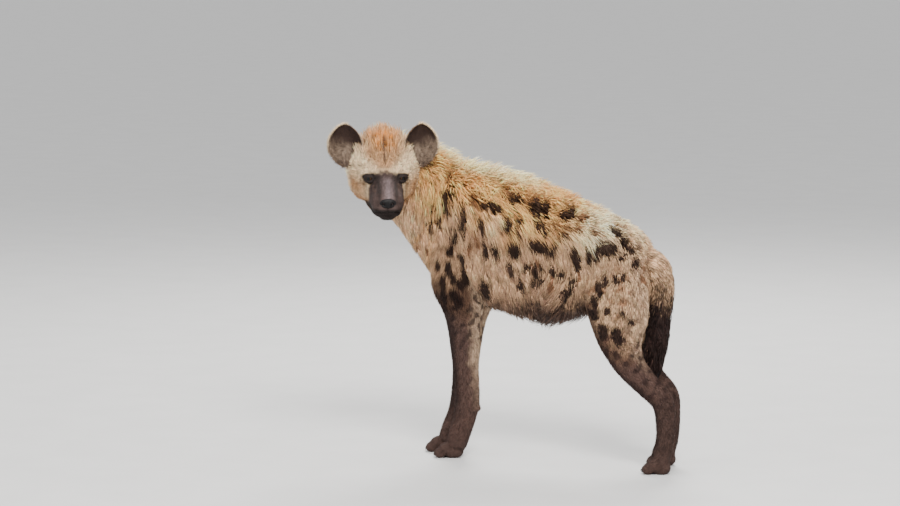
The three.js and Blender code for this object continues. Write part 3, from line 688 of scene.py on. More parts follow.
class Field:
    """What the coat follows at each point of the skin: its form, place, lie, depth, weights and colours."""

    GROUPS = ("trunk", "neck", "head", "foreleg", "hindleg", "tail", "paw")

    def __init__(self, verts, normals, edges):
        self.verts = verts
        self.normals = normals
        self.drawn = placed(DRAWN_TO_ROW.inverted(), verts) / MM
        self.head = placed(HEAD_TO_ROW.inverted(), verts) / MM
        self.tree = search_tree(verts)
        self.find_forms()
        self.lay_coat(edges)

    def nearest(self, points):
        return np.array([self.tree.find(point)[1] for point in points])

    def find_forms(self):
        """The nearest form of each vertex, and its place along and round it."""
        us = np.linspace(0.01, 0.99, 60)
        angles = np.arange(60) * 6.0
        grid_u, grid_angle = (a.ravel() for a in np.meshgrid(us, angles, indexing="ij"))
        rows = []
        for number, form in enumerate(FORMS.values()):
            here = form.surface(grid_u, grid_angle)
            by_u = (form.surface(grid_u + 0.005, grid_angle) - form.surface(grid_u - 0.005, grid_angle)) / 0.01
            by_angle = form.surface(grid_u, grid_angle + 1) - form.surface(grid_u, grid_angle - 1)
            coat = np.linalg.norm(form.surface(grid_u, grid_angle, 1) - here, axis=1)
            rows.append(np.column_stack((
                here, by_u, by_angle / 2, coat, grid_u, grid_angle, np.full(len(here), number),
            )))
        rows = np.concatenate(rows)
        tree = search_tree(rows[:, :3])
        row = rows[[tree.find(vert)[1] for vert in self.verts]]
        offset = self.verts - row[:, :3]
        length_u = np.maximum((row[:, 3:6] ** 2).sum(1), 1e-8)
        length_angle = np.maximum((row[:, 6:9] ** 2).sum(1), 1e-10)
        self.u = row[:, 10] + (offset * row[:, 3:6]).sum(1) / length_u
        self.angle = (row[:, 11] + (offset * row[:, 6:9]).sum(1) / length_angle) % 360
        self.form = row[:, 12].astype(int)
        self.along = unit(row[:, 3:6])
        self.depth = row[:, 9]
        # The gaps between the toes, where the paws' colour is painted darker as shade
        self.toe_gap = toe_gaps(self.drawn)

    def lay_coat(self, edges):
        """The lie of the coat, the share of each group and the coat's depth, smoothed over the skin."""
        name = np.array(FORM_NAMES)[self.form]
        x, _, z = self.drawn.T
        on_paw = np.zeros(len(x))
        for foot, _ in PAWS.values():
            near = np.hypot(x - foot[0], self.drawn[:, 1] - foot[1]) < 75
            on_paw = np.maximum(on_paw, near * smoothstep(78, 34, z))
        groups = {
            "trunk": name == "trunk",
            "neck": name == "neck",
            "head": (name == "skull") | (name == "jaw"),
            "foreleg": np.char.startswith(name, "foreleg"),
            "hindleg": np.char.startswith(name, "hindleg"),
            "tail": name == "tail",
            "paw": on_paw > 0,
        }
        weights = np.column_stack([
            groups[group] * (on_paw if group == "paw" else 1 - on_paw) for group in self.GROUPS
        ])
        sine = np.sin(np.radians(self.angle))
        down = np.array((0.0, 0.0, -1.0))
        heights = (-1, -0.5, 0, 0.45, 0.85, 1)
        sweep = np.interp(sine, heights, (86, 80, 72, 60, 38, 14))
        sweep += 48 * bell(x, -52, 48) * smoothstep(610, 530, z)
        sweep = np.radians(np.where(groups["neck"], np.interp(sine, heights, (68, 66, 60, 48, 26, 10)), sweep))
        lie = -self.along * np.cos(sweep)[:, None] + down * np.sin(sweep)[:, None]
        rump = smoothstep(-180, -290, x)[:, None]
        lie = lie * (1 - rump) + rump * (down + 0.25 * lie)
        limbs = groups["foreleg"] | groups["hindleg"] | groups["tail"]
        lie[limbs] = self.along[limbs]
        hx, hy, hz = self.head.T
        swept = np.column_stack((
            -np.ones(len(hx)), 0.25 * np.sign(hy) * smoothstep(20, 60, np.abs(hy)),
            0.7 * smoothstep(-10, 45, hz) - 0.4 * smoothstep(-20, -50, hz),
        ))
        lie[groups["head"]] = (swept @ np.array(HEAD_TO_ROW)[:3, :3].T)[groups["head"]]
        lie = lie * (1 - on_paw)[:, None] + on_paw[:, None] * np.array((0.8, 0.0, -0.5))
        fields = np.column_stack((unit(lie), weights, self.depth))
        fields = spread_out(fields, edges, 12)
        lie = fields[:, :3]
        lie -= self.normals * (lie * self.normals).sum(1)[:, None]
        self.lie = unit(lie)
        self.weights = np.clip(fields[:, 3:10], 0, 1)
        self.weights /= self.weights.sum(1, keepdims=True).clip(1e-6)
        self.depth = fields[:, 10]


# Markings, shared by the skin and the coat
def all_spots(seed):
    """The left side's spots, a jittered mirror of them for the right side, and small ones on the legs."""
    left = np.array(SPOTS, dtype=float)
    rng = np.random.default_rng(seed)
    right = left[rng.random(len(left)) > 0.12].copy()
    right[:, 1] *= -1
    right[:, 0] += rng.normal(0, 11, len(right))
    right[:, 2] += rng.normal(0, 9, len(right))
    right[:, 3:5] *= rng.uniform(0.8, 1.2, (len(right), 2))
    right[:, 5] += rng.normal(0, 9, len(right))
    right[:, 5] *= -1
    return np.concatenate((left, right))


def spot_masks(field, seed):
    """Two masks, from 0 to 1, of the black and of the brown spots."""
    drawn = field.drawn
    ragged = 0.12 * wobble(drawn, 30) + 0.08 * wobble(drawn, 12, 2.0)
    black = np.zeros(len(drawn))
    brown = np.zeros(len(drawn))
    for x, y, z, half_length, half_width, tilt, kind in all_spots(seed):
        _, index, _ = field.tree.find(DRAWN_TO_ROW @ (Vector((x, y, z)) * MM))
        centre, normal = drawn[index], field.normals[index]
        up = np.array((0, 0, 1.0)) - normal * normal[2]
        up /= max(np.linalg.norm(up), 1e-6)
        side = np.cross(normal, up)
        turn = math.radians(tilt)
        long_axis = up * math.cos(turn) + side * math.sin(turn)
        short_axis = side * math.cos(turn) - up * math.sin(turn)
        reach = 1.6 * max(half_length, half_width) + 12
        offset = drawn - centre
        near = (np.abs(offset) < reach).all(1)
        offset = offset[near]
        far = np.sqrt(
            (offset @ long_axis / (half_length + 1.5)) ** 2
            + (offset @ short_axis / (half_width + 1.5)) ** 2
            + (offset @ normal / (reach * 1.2)) ** 2
        )
        mask = smoothstep(1.12, 0.92, far + ragged[near])
        target = brown if kind else black
        target[near] = np.maximum(target[near], mask)
    return black, brown


def blend(colour, other, mask):
    return colour + (np.asarray(other) - colour) * np.clip(mask, 0, 1)[:, None]


def layered(colour, *layers):
    """A colour under layers of others, each with its mask."""
    for other, mask in layers:
        colour = blend(colour, other, mask)
    return colour


def all_tones(colours):
    return {name: linear(getattr(colours, name)) for name in HyenaCoatColours.__annotations__}


def body_colours(field, colours):
    """The ground colour of trunk, neck, legs, paws and tail, without spots, in linear light, with painted light on
    the top of the rump and painted shade between the toes.
    """
    count = len(field.verts)
    x, _, z = field.drawn.T
    sine = np.sin(np.radians(field.angle))
    tone = all_tones(colours)
    patchy = wobble(field.drawn, 120, 0.7)
    fine = wobble(field.drawn, 38, 1.9)
    blotch = smoothstep(-0.2, -0.6, fine)
    low_leg = np.interp(z, (60, 190, 260), (0.72, 0.78, 1.15))[:, None]

    def plain(name):
        return np.tile(tone[name], (count, 1))

    mane = smoothstep(0.1, 0.7, sine + 0.14 * patchy) * smoothstep(-190, -90, x + 20 * fine)
    trunk = blend(plain("flank"), tone["mane"], mane)
    low = smoothstep(530, 440, z + 14 * patchy + 8 * fine) * smoothstep(330, 200, x)
    trunk = blend(trunk, tone["low_flank"], low * 0.85)
    pale = smoothstep(-40, -150, x + 16 * fine) * smoothstep(440, 560, z + 16 * patchy)
    trunk = blend(trunk, tone["haunch"], pale * (1 - 0.75 * mane))
    # The loin and upper haunch are painted paler: partly pale hair, partly painted light on the sunlit top of the
    # rump
    loin_pale_and_lit = bell(x, -180, 75) * smoothstep(595, 670, z + 20 * patchy + 10 * fine)
    trunk = blend(trunk, tone["rump"], np.maximum(loin_pale_and_lit, pale * smoothstep(560, 660, z + 14 * fine) * 0.45))
    rear_belly = smoothstep(-170, -110, x) * smoothstep(90, 10, x)
    under = smoothstep(-0.62 - 0.16 * (1 - rear_belly), -0.9, sine + 0.1 * fine) * smoothstep(235, 180, x)
    trunk = blend(trunk, tone["dark"], under * (0.5 + 0.35 * rear_belly))
    neck = layered(
        plain("flank") * 1.12,
        (tone["mane"], smoothstep(-0.6, 0.3, sine + 0.1 * patchy)),
        (tone["haunch"], smoothstep(-0.4, -0.8, sine + 0.1 * patchy) * 0.6),
    )

    front = smoothstep(0.0, 0.7, sine)
    back = smoothstep(-0.4, -1.0, sine + 0.16 * fine)
    spotted = smoothstep(290, 340, z) * smoothstep(540, 480, z)
    foreleg = layered(
        plain("leg"),
        (tone["elbow"], smoothstep(355, 450, z + 16 * patchy)),
        (tone["flank"], smoothstep(460, 540, z + 16 * patchy)),
        (tone["dark"] * 0.85, front * 0.85 * smoothstep(540, 440, z) * smoothstep(60, 200, z)),
        (tone["leg_back"], back * smoothstep(130, 300, z + 20 * patchy) * 0.9),
        (tone["dark"] * 1.1, blotch * spotted * 0.85),
    )
    thigh = smoothstep(400, 460, z) * smoothstep(640, 560, z)
    shank = smoothstep(150, 220, z) * smoothstep(440, 370, z)
    hindleg = layered(
        plain("leg") * low_leg,
        (tone["elbow"], smoothstep(270, 350, z + 14 * patchy)),
        (tone["haunch"], smoothstep(330, 430, z + 20 * patchy + 14 * fine)),
        (tone["brown_spot"] * 1.6, blotch * thigh * 0.65),
        (tone["dark"] * 1.1, smoothstep(0.25, 0.8, sine) * smoothstep(520, 450, z) * 0.85),
        (tone["leg_back"], back * smoothstep(260, 340, z) * 0.5),
        (tone["dark"] * 1.2, blotch * shank * 0.8),
    )
    tuft = smoothstep(560, 450, z + 16 * patchy + 14 * fine)
    tail = blend(plain("haunch"), tone["dark"] * 0.8, tuft)
    # The paws are painted dark in the gaps between the toes: painted shade in those grooves
    gaps = blend(plain("leg") * 0.8, tone["dark"] * 0.4, field.toe_gap)
    return sum(
        field.weights[:, i, None] * colour
        for i, colour in enumerate((trunk, neck, neck, foreleg, hindleg, tail, gaps))
    )


def face_colours(field, colours):
    """Colours of the head, in linear light, with a painted sheen along the nose bridge."""
    tone = all_tones(colours)
    hx, hy, hz = field.head.T
    wide = np.abs(hy)
    patchy = wobble(field.drawn, 60, 0.7)
    fine = wobble(field.drawn, 17, 1.1)
    face = np.tile(tone["temple"], (len(hx), 1))
    face = blend(face, tone["haunch"], smoothstep(30, 60, hz) * 0.6)
    half = np.interp(hz, (15, 30, 48, 75), (12, 26, 46, 56))
    middle = smoothstep(half + 24, half - 20, wide + 4 * patchy) * smoothstep(12, 34, hz)
    face = blend(face, tone["forehead"], middle)
    rufous = smoothstep(54, 14, wide + 4 * patchy + 3 * fine) * smoothstep(48, 74, hz + 5 * fine)
    rufous *= smoothstep(-24, -46, hx)
    face = layered(
        face,
        (tone["crown"], rufous),
        (tone["cheek"], bell(wide, 80, 28) * bell(hz, -34, 30) * smoothstep(-84, -46, hx)),
        (tone["cheek"], smoothstep(-40, -66, hz) * smoothstep(80, 40, hx)),
        (tone["cheek"] * 0.45, bell(wide, 58, 8) * bell(hz, -18, 7) * bell(hx, 10, 24) * 0.9),
    )
    stripe = bell(hy + 1, 0, 2.6) * smoothstep(26, 44, hz) * smoothstep(-92, -72, hx)
    face = blend(face, tone["leg"] * 0.7, stripe * 0.85)
    muzzle = tone["muzzle"]
    side_start = 46 - 22 * smoothstep(-30, 5, hz) - 22 * smoothstep(-48, -66, hz) + 3 * patchy + 3 * fine
    snout = smoothstep(side_start - 8, side_start + 8, hx) * smoothstep(38, 15, hz + 3 * fine + 0.25 * wide)
    face = blend(face, muzzle, snout)
    grizzled = 0.5 + 0.5 * wobble(field.head * np.array((0.35, 1, 1)), 9, 0.4)
    for side in (1, -1):
        reach, gaze = eye_reach(field.head - np.array((0, 0, 1.0)), side, 25, 15)
        slant = 1 + 0.2 * smoothstep(0, 20, hz) * smoothstep(40, 66, wide)
        around_eye = smoothstep(1.3, 0.75, reach * slant + 0.07 * fine) * (gaze > -14)
        inner = bell(hy - side * 25, 0, 11) * bell(hz, 5, 11) * smoothstep(14, 30, hx)
        face = blend(face, muzzle * 0.2, np.maximum(around_eye, 0.75 * inner))
        tear = bell(hy - side * (22 + 0.02 * (hx - 40)), 0, 6) * smoothstep(24, 34, hx) * smoothstep(-62, -40, hz)
        face = blend(face, muzzle * 0.35, tear * smoothstep(16, 6, hz) * 0.9)
        streak = bell(hy - side * (34 - 0.06 * (hx - 50)), 0, 4) * smoothstep(44, 56, hx) * smoothstep(96, 84, hx)
        streak *= smoothstep(-48, -30, hz) * smoothstep(0, -12, hz)
        face = blend(face, tone["elbow"], streak * 0.6 * grizzled)
    # Grey along the nose bridge: partly greyer hair, partly a painted sheen where light falls on the top of the
    # muzzle
    bridge = bell(hy - 2, 0, 12) * smoothstep(38, 62, hx) * smoothstep(-42, -30, hz)
    face = blend(face, tone["bridge"], bridge * (0.5 + 0.5 * grizzled))
    lips = smoothstep(15, 5, np.abs(hz - mouth_height(hx) - 1)) * smoothstep(-30, -12, hx)
    chin = smoothstep(-56, -68, hz) * smoothstep(40, 66, hx)
    return blend(face, muzzle * 0.16, np.maximum(lips, chin) * 0.94)


def paint_coat(field, colours, seed):
    """Root and tip colours of the coat at each point of the skin, with the roots darkened as painted shade deep in
    the coat and the tips lightened as painted light.
    """
    trunk, neck, head = field.weights[:, 0], field.weights[:, 1], field.weights[:, 2]
    sine = np.sin(np.radians(field.angle))
    x = field.drawn[:, 0]
    black, brown = spot_masks(field, seed)
    body = body_colours(field, colours)
    body = layered(
        body,
        (linear(colours.brown_spot), brown * 0.85),
        (linear(colours.spot), black * 0.97),
        (face_colours(field, colours), smoothstep(0.35, 0.75, head)),
    )
    long_hair = smoothstep(0.9, 1.0, sine) * np.maximum(trunk * smoothstep(0, 90, x), neck)
    tip = blend(body, linear(colours.mane_tip), long_hair * (1 - black) * (1 - 0.6 * brown) * 0.85)
    hx, hy, hz = field.head.T
    crown = smoothstep(80, 30, np.abs(hy)) * smoothstep(62, 84, hz) * smoothstep(-50, -84, hx) * head
    tip = blend(tip, linear(colours.crown_tip), crown * 0.85)
    shaggy = (trunk + neck) * (1 - black)
    legs = field.weights[:, 3] + field.weights[:, 4] + field.weights[:, 6]
    # Painted shade and light: roots darker and tips lighter, most where the coat is long, standing in for the
    # coat's own shade
    field.tip = tip * (1.06 + 0.34 * shaggy + 0.16 * legs)[:, None]
    field.root = body * (0.78 - 0.42 * shaggy - 0.22 * legs)[:, None]


# The coat
class Tufts:
    """Roots of tufts scattered over the skin, and the meshes grown from them."""

    def __init__(self, field, triangles, sizes):
        self.field = field
        self.sizes = sizes
        self.rng = np.random.default_rng(sizes.seed)
        self.scatter(triangles)
        self.measure()

    def scatter(self, triangles):
        field = self.field
        area = triangle_areas(field.verts[triangles])
        owner, mix = scattered(self.rng, self.wanted(triangles) * area * self.sizes.density)
        near = triangles[owner]
        self.roots = (field.verts[near] * mix[:, :, None]).sum(1)
        self.normals = unit((field.normals[near] * mix[:, :, None]).sum(1))
        self.lie = unit((field.lie[near] * mix[:, :, None]).sum(1))
        self.weights = (field.weights[near] * mix[:, :, None]).sum(1)
        self.depth = (field.depth[near] * mix).sum(1)
        self.vertex = near[:, 0]
        self.form = field.form[self.vertex]
        self.angle = field.angle[self.vertex]
        self.u = field.u[self.vertex]
        self.head = placed(HEAD_TO_ROW.inverted(), self.roots) / MM
        self.drawn = placed(DRAWN_TO_ROW.inverted(), self.roots) / MM

    def wanted(self, triangles):
        """Tufts for each square metre: dense where the hair is short."""
        field = self.field
        centre = field.verts[triangles].mean(1)
        head = placed(HEAD_TO_ROW.inverted(), centre) / MM
        weights = field.weights[triangles].mean(1)
        number = weights @ np.array((110e3, 112e3, 215e3, 135e3, 140e3, 230e3, 170e3))
        number *= np.where((head[:, 0] > 20) & (weights[:, 2] > 0.5), 2.4, 1.0)
        under_nose = (head[:, 0] > 99) & (np.abs(head[:, 1]) < 24) & (head[:, 2] > -60) & (head[:, 2] < -30)
        number[under_nose] = 0
        for side in (1, -1):
            reach, gaze = eye_reach(head, side, 14.5, 10)
            number[(reach < 1) & (gaze > 0)] = 0
            behind_ear = (side * head[:, 1] > 66) & (head[:, 2] > 2) & (head[:, 0] < -70) & (head[:, 0] > -118)
            number[behind_ear & (weights[:, 2] > 0.3)] = 0
        number[field.verts[triangles][:, :, 2].max(1) < 3 * MM] = 0
        return number

    def measure(self):
        """Length, width and height of each tuft."""
        rng = self.rng
        trunk, neck, head, _, _, tail, _ = self.weights.T
        sine = np.sin(np.radians(self.angle))
        hx, hy, hz = self.head.T
        count = len(sine)
        crest = smoothstep(0.66, 0.9, sine) * (trunk + neck)
        belly = smoothstep(-0.55, -0.8, sine) * trunk
        crown = smoothstep(58, 26, np.abs(hy)) * smoothstep(30, 52, hz) * smoothstep(-34, -66, hx) * head
        muzzle = smoothstep(10, 36, hx) * head
        factor = self.weights @ np.array((2.7, 2.6, 1.25, 2.2, 2.2, 7.0, 1.0)) - 1.3 * crest - 0.9 * belly
        least = self.weights @ np.array((24, 26, 8, 11, 11, 40, 7)) * MM
        most = self.weights @ np.array((88, 88, 88, 30, 30, 90, 9)) * MM
        length = np.clip(self.depth * factor, least, most)
        length = length * (1 - muzzle) + muzzle * 7.5 * MM
        self.length = length * rng.uniform(0.72, 1.15, count)
        slim = self.weights @ np.array((2.8, 2.8, 1.8, 2.3, 2.4, 3.2, 2.1)) + 0.9 * crown
        self.width = (slim * (1 - muzzle) + muzzle * 1.15) * MM * rng.uniform(0.6, 1.3, count)
        least = self.weights @ np.array((6, 6, 2.6, 3.4, 3.4, 8, 2.1)) * (1 - 0.1 * muzzle) * MM
        draw = rng.random(count)
        share = 0.5 + 0.6 * draw
        share = share * (1 - np.maximum(crest, belly))
        share += crest * (0.46 + 0.76 * draw ** 1.5) + belly * (0.35 + 1.15 * draw ** 2.5)
        share = share + 0.25 * crown + tail * (0.2 + 1.2 * rng.random(count))
        ears = (self.head - np.array((-98, 0, 34))) * np.array((1, 0, 1))
        off_ear = np.hypot(np.linalg.norm(ears, axis=1), np.abs(hy) - 80)
        by_ear = smoothstep(75, 30, off_ear) * neck
        self.length *= 1 - 0.4 * by_ear
        share *= 1 - 0.5 * by_ear
        self.height = np.minimum(np.maximum(self.depth, least) * share, 0.94 * self.length)

    def follow(self, points, guess_lie, step):
        """Points moved along the skin by step, with the skin's normal and lie there."""
        field = self.field
        moved = points + guess_lie * step[:, None]
        index = field.nearest(moved)
        normal = field.normals[index]
        moved -= normal * ((moved - field.verts[index]) * normal).sum(1)[:, None]
        return moved, normal, field.lie[index]

    def grow(self, chosen, rings):
        """Spines of the chosen tufts from root to tip."""
        rng = self.rng
        lie, normal = self.lie[chosen], self.normals[chosen]
        side = np.cross(normal, lie)
        turn = rng.normal(0, self.sizes.stray, len(chosen))
        turn += 0.22 * wobble(self.drawn[chosen], 52, 1.3) + 0.15 * wobble(self.drawn[chosen], 19, 2.2)
        lie = lie * np.cos(turn)[:, None] + side * np.sin(turn)[:, None]
        length, height = self.length[chosen], self.height[chosen]
        on_skin = self.roots[chosen]
        spine = [on_skin - normal * (1.2 * MM)]
        step = np.sqrt(np.maximum(length ** 2 - height ** 2, (0.4 * length) ** 2)) / rings
        for ring in range(1, rings + 1):
            on_skin, normal, lie_there = self.follow(on_skin, lie, step)
            lie = unit(0.7 * lie + 0.3 * lie_there)
            lie = unit(lie - normal * (lie * normal).sum(1)[:, None])
            rise = height * (1 - (1 - ring / rings) ** 1.7)
            spine.append(on_skin + normal * rise[:, None])
        return np.stack(spine, 1)

    def leaders(self, chosen):
        """For each tuft, the leading tuft of the lock that it belongs to."""
        numbers = np.nonzero(self.rng.random(len(chosen)) < 0.10)[0]
        if not len(numbers):
            return np.arange(len(chosen))
        tree = search_tree(self.roots[chosen[numbers]])
        return numbers[[tree.find(root)[1] for root in self.roots[chosen]]]

    def clumped(self, chosen, spine, leader, strength):
        """Tips drawn towards the leader's tip, so that the hair parts into locks."""
        apart = spine[:, 0] - spine[leader, 0]
        pull = spine[leader, -1] + 0.25 * apart - spine[:, -1]
        reach = np.linalg.norm(pull, axis=1, keepdims=True)
        pull *= np.minimum(1, 0.45 * self.length[chosen][:, None] / np.maximum(reach, 1e-6))
        share = (np.linspace(0, 1, spine.shape[1]) ** 1.5)[None, :, None]
        return spine + strength * share * pull[:, None, :]

    def piece(self, name, chosen, rings, slot, material, clump=0.0):
        """One joined mesh of the chosen tufts."""
        spine = self.grow(chosen, rings)
        leader = self.leaders(chosen)
        spine = self.clumped(chosen, spine, leader, clump)
        normal = self.normals[chosen]
        count = len(chosen)
        profile = np.interp(np.arange(rings) / rings, (0, 0.35, 0.7, 1), (0.75, 1.0, 0.72, 0.3))
        width = self.width[chosen]
        verts = np.empty((count, 3 * rings + 1, 3))
        for ring in range(rings):
            along = unit(spine[:, ring + 1] - spine[:, max(ring - 1, 0)])
            across = unit(np.cross(normal, along))
            raised = np.cross(along, across)
            half = (width * profile[ring] / 2)[:, None]
            middle = spine[:, ring]
            verts[:, 3 * ring] = middle + across * half
            verts[:, 3 * ring + 1] = middle + raised * half * 0.75
            verts[:, 3 * ring + 2] = middle - across * half
        verts[:, -1] = spine[:, -1]
        verts[:, :, 2] = np.maximum(verts[:, :, 2], 0.4 * MM)
        faces = [(0, 1, 2)]
        for ring in range(rings - 1):
            a, b = 3 * ring, 3 * ring + 3
            for i in range(3):
                j = (i + 1) % 3
                faces += [(a + i, b + j, a + j), (a + i, b + i, b + j)]
        last = 3 * (rings - 1)
        faces += [(last + i, 3 * rings, last + (i + 1) % 3) for i in range(3)]
        mesh, loops = repeated_mesh(name, verts, faces)
        self.paint(mesh, chosen, spine, np.array(faces), leader, clump)
        self.unwrap(mesh, chosen, verts.shape[1], loops)
        return finished(name, mesh, material)

    def paint(self, mesh, chosen, spine, faces, leader, clump):
        """Each length of a tuft takes the colour of the marking under it, darker at the root with the coat's
        painted shade and lighter at the tip with painted light.
        """
        rng, field = self.rng, self.field
        count, rings = len(chosen), spine.shape[1] - 1
        shaggy = self.weights[chosen, :2].sum(1)
        muzzle = smoothstep(16, 36, self.head[chosen, 0]) * self.weights[chosen, 2]
        legs = self.weights[chosen, 3] + self.weights[chosen, 4] + self.weights[chosen, 6]
        tone = rng.normal(0, 1, count) * (0.12 + 0.18 * muzzle + 0.2 * legs)
        tone += rng.normal(0, 0.3, count)[leader] * min(1, 2 * clump)
        tone += (0.08 + 0.16 * legs) * wobble(self.drawn[chosen] * np.array((1, 1, 0.5)), 24, 0.5)
        tone += 0.3 * muzzle * wobble(self.head[chosen] * np.array((0.3, 1, 1)), 8, 0.9)
        gain = np.clip(1 + tone[:, None] + rng.normal(0, 0.025, (count, 3)), 0.4, 1.8)
        ends = np.empty((count, rings, 2, 3))
        spread = 1.0 + 1.6 * (shaggy + self.weights[chosen, 4])
        astray = rng.normal(0, 1, (count, 3)) * (spread * MM)[:, None]
        astray += self.lie[chosen] * (self.weights[chosen, 5] * rng.normal(0, 18 * MM, count))[:, None]
        for ring in range(rings):
            below = field.nearest((spine[:, ring] + spine[:, ring + 1]) / 2 + astray)
            for end in (0, 1):
                share = ((ring + end) / rings) ** 0.8
                ends[:, ring, end] = (field.root[below] * (1 - share) + field.tip[below] * share) * gain
        corner_ring = faces // 3
        length = np.minimum(corner_ring.min(1, keepdims=True), rings - 1)
        end = np.minimum(corner_ring - length, 1)
        set_colours(mesh, ends[:, length, end], "CORNER")

    def unwrap(self, mesh, chosen, per_tuft, loops):
        """A patch for each tuft at its root's place on the skin, form beside form."""
        numbers = np.unique(self.form[chosen], return_inverse=True)[1]
        wide = np.bincount(numbers) / len(chosen)
        start = np.cumsum(wide) - wide
        across = start[numbers] + np.clip(self.u[chosen], 0, 1) * wide[numbers]
        place = np.column_stack((across, self.angle[chosen] % 360 / 360)) * 0.996
        rings = (per_tuft - 1) // 3
        corner_u = np.concatenate((np.tile((0.0, 0.5, 1.0), rings), [0.5]))
        corner_v = np.concatenate((np.repeat(np.arange(rings) / rings, 3), [1.0]))
        patches = place[:, None] + np.column_stack((corner_u, corner_v))[None] * 0.003
        set_patches(mesh, patches.reshape(-1, 2)[loops])


# Materials
class Socket:
    """A shader socket in an expression: arithmetic adds Math nodes."""

    def __init__(self, finish, socket):
        self.finish = finish
        self.socket = socket

    def math(self, operation, first, second):
        return self.finish.node("ShaderNodeMath", {0: first, 1: second}, operation=operation)

    def __add__(self, other):
        return self.math("ADD", self, other)

    def __mul__(self, other):
        return self.math("MULTIPLY", self, other)

    __radd__ = __add__
    __rmul__ = __mul__


class Finish:
    """A material being made: one method adds any node, with its settings first and then its sockets."""

    def __init__(self, name, **shader):
        self.material = bpy.data.materials.new(name)
        self.material.use_nodes = True
        self.tree = self.material.node_tree
        self.shader = self.tree.nodes["Principled BSDF"]
        for socket, value in shader.items():
            self.shader.inputs[socket.replace("_", " ")].default_value = value
        self.object_place = self.node("ShaderNodeTexCoord", output="Object")

    def node(self, kind, sockets=None, output=0, stops=None, **settings):
        made = self.tree.nodes.new(kind)
        for setting, value in settings.items():
            setattr(made, setting, value)
        if stops:
            ramp = made.color_ramp
            while len(ramp.elements) < len(stops):
                ramp.elements.new(0.5)
            for element, (position, colour) in zip(ramp.elements, stops):
                element.position = position
                element.color = (*colour, 1)
        for key, value in (sockets or {}).items():
            self.feed(made.inputs[key], value)
        return Socket(self, made.outputs[output])

    def feed(self, target, value):
        if isinstance(value, Socket):
            self.tree.links.new(value.socket, target)
        else:
            target.default_value = value

    def noise(self, scale, detail=4.0, stretch=(1, 1, 1)):
        place = self.node("ShaderNodeMapping", {"Vector": self.object_place, "Scale": stretch})
        return self.node("ShaderNodeTexNoise", {"Vector": place, "Scale": scale, "Detail": detail}, output="Fac")

    def mix(self, share, first, second, blend_type="MIX"):
        sockets = {0: share, 6: first, 7: second}
        return self.node("ShaderNodeMix", sockets, output=2, data_type="RGBA", blend_type=blend_type)

    def set(self, **sockets):
        for name, value in sockets.items():
            self.feed(self.shader.inputs[name.replace("_", " ")], value)

    def bump(self, height, strength, distance):
        sockets = {"Height": height, "Strength": strength, "Distance": distance}
        self.set(Normal=self.node("ShaderNodeBump", sockets, output="Normal"))


def hair_finish(name, roughness=0.66):
    finish = Finish(name, Roughness=roughness, Specular_IOR_Level=0.18)
    colour = finish.node("ShaderNodeAttribute", output="Color", attribute_name="coat_colour")
    streaks = finish.noise(900, 2.0, (1, 1, 0.35))
    shade = finish.node("ShaderNodeValToRGB", {0: streaks}, stops=((0.25, (0.80,) * 3), (0.75, (1.16,) * 3)))
    finish.set(Base_Color=finish.mix(1.0, colour, shade, "MULTIPLY"))
    finish.set(Roughness=streaks * 0.2 + (roughness - 0.1))
    return finish.material


def skin_finish(name):
    finish = Finish(name, Roughness=0.8, Specular_IOR_Level=0.2)
    colour = finish.node("ShaderNodeAttribute", output="Color", attribute_name="coat_colour")
    grain = finish.noise(620, 3.0)
    shade = finish.node("ShaderNodeValToRGB", {0: grain}, stops=((0.3, (0.74,) * 3), (0.7, (1.1,) * 3)))
    finish.set(Base_Color=finish.mix(1.0, colour, shade, "MULTIPLY"))
    finish.set(Roughness=grain * 0.2 + 0.66)
    finish.bump(grain, 0.5, 0.6 * MM)
    return finish.material


def eye_finish(side, centre, gaze):
    """Dark brown iris round a black pupil, by the angle off the gaze, under a clear wet coat."""
    finish = Finish(
        f"eye_{side}", Roughness=0.3, IOR=1.3, Coat_Weight=0.25, Coat_Roughness=0.04, Specular_IOR_Level=0.1,
    )
    offset = finish.node("ShaderNodeVectorMath", {0: finish.object_place, 1: centre}, operation="SUBTRACT")
    ray = finish.node("ShaderNodeVectorMath", {0: offset}, operation="NORMALIZE")
    facing = finish.node("ShaderNodeVectorMath", {0: ray, 1: gaze}, output="Value", operation="DOT_PRODUCT")
    fibres = finish.noise(1400, 3.0)
    iris = finish.node("ShaderNodeValToRGB", {0: facing + fibres * 0.02}, stops=(
        (0.0, (0.03, 0.02, 0.016)), (0.70, (0.025, 0.016, 0.012)), (0.76, (0.012, 0.007, 0.004)),
        (0.84, (0.050, 0.024, 0.010)), (0.91, (0.035, 0.016, 0.007)), (0.925, (0.002, 0.002, 0.002)),
    ))
    finish.set(Base_Color=iris)
    return finish.material


def nose_finish():
    finish = Finish("nose_leather", Roughness=0.5, Specular_IOR_Level=0.16, Coat_Roughness=0.4)
    pebbles = finish.node(
        "ShaderNodeTexVoronoi", {"Vector": finish.object_place, "Scale": 620.0}, output="Distance",
    )
    blotch = finish.noise(90, 3.0)
    colour = finish.node("ShaderNodeValToRGB", {0: blotch}, stops=(
        (0.35, (0.003, 0.0025, 0.003)), (0.7, (0.007, 0.006, 0.0065)),
    ))
    finish.set(Base_Color=colour, Roughness=pebbles * 0.3 + 0.45, Coat_Weight=blotch * 0.1)
    finish.bump(pebbles, 0.35, 0.5 * MM)
    return finish.material


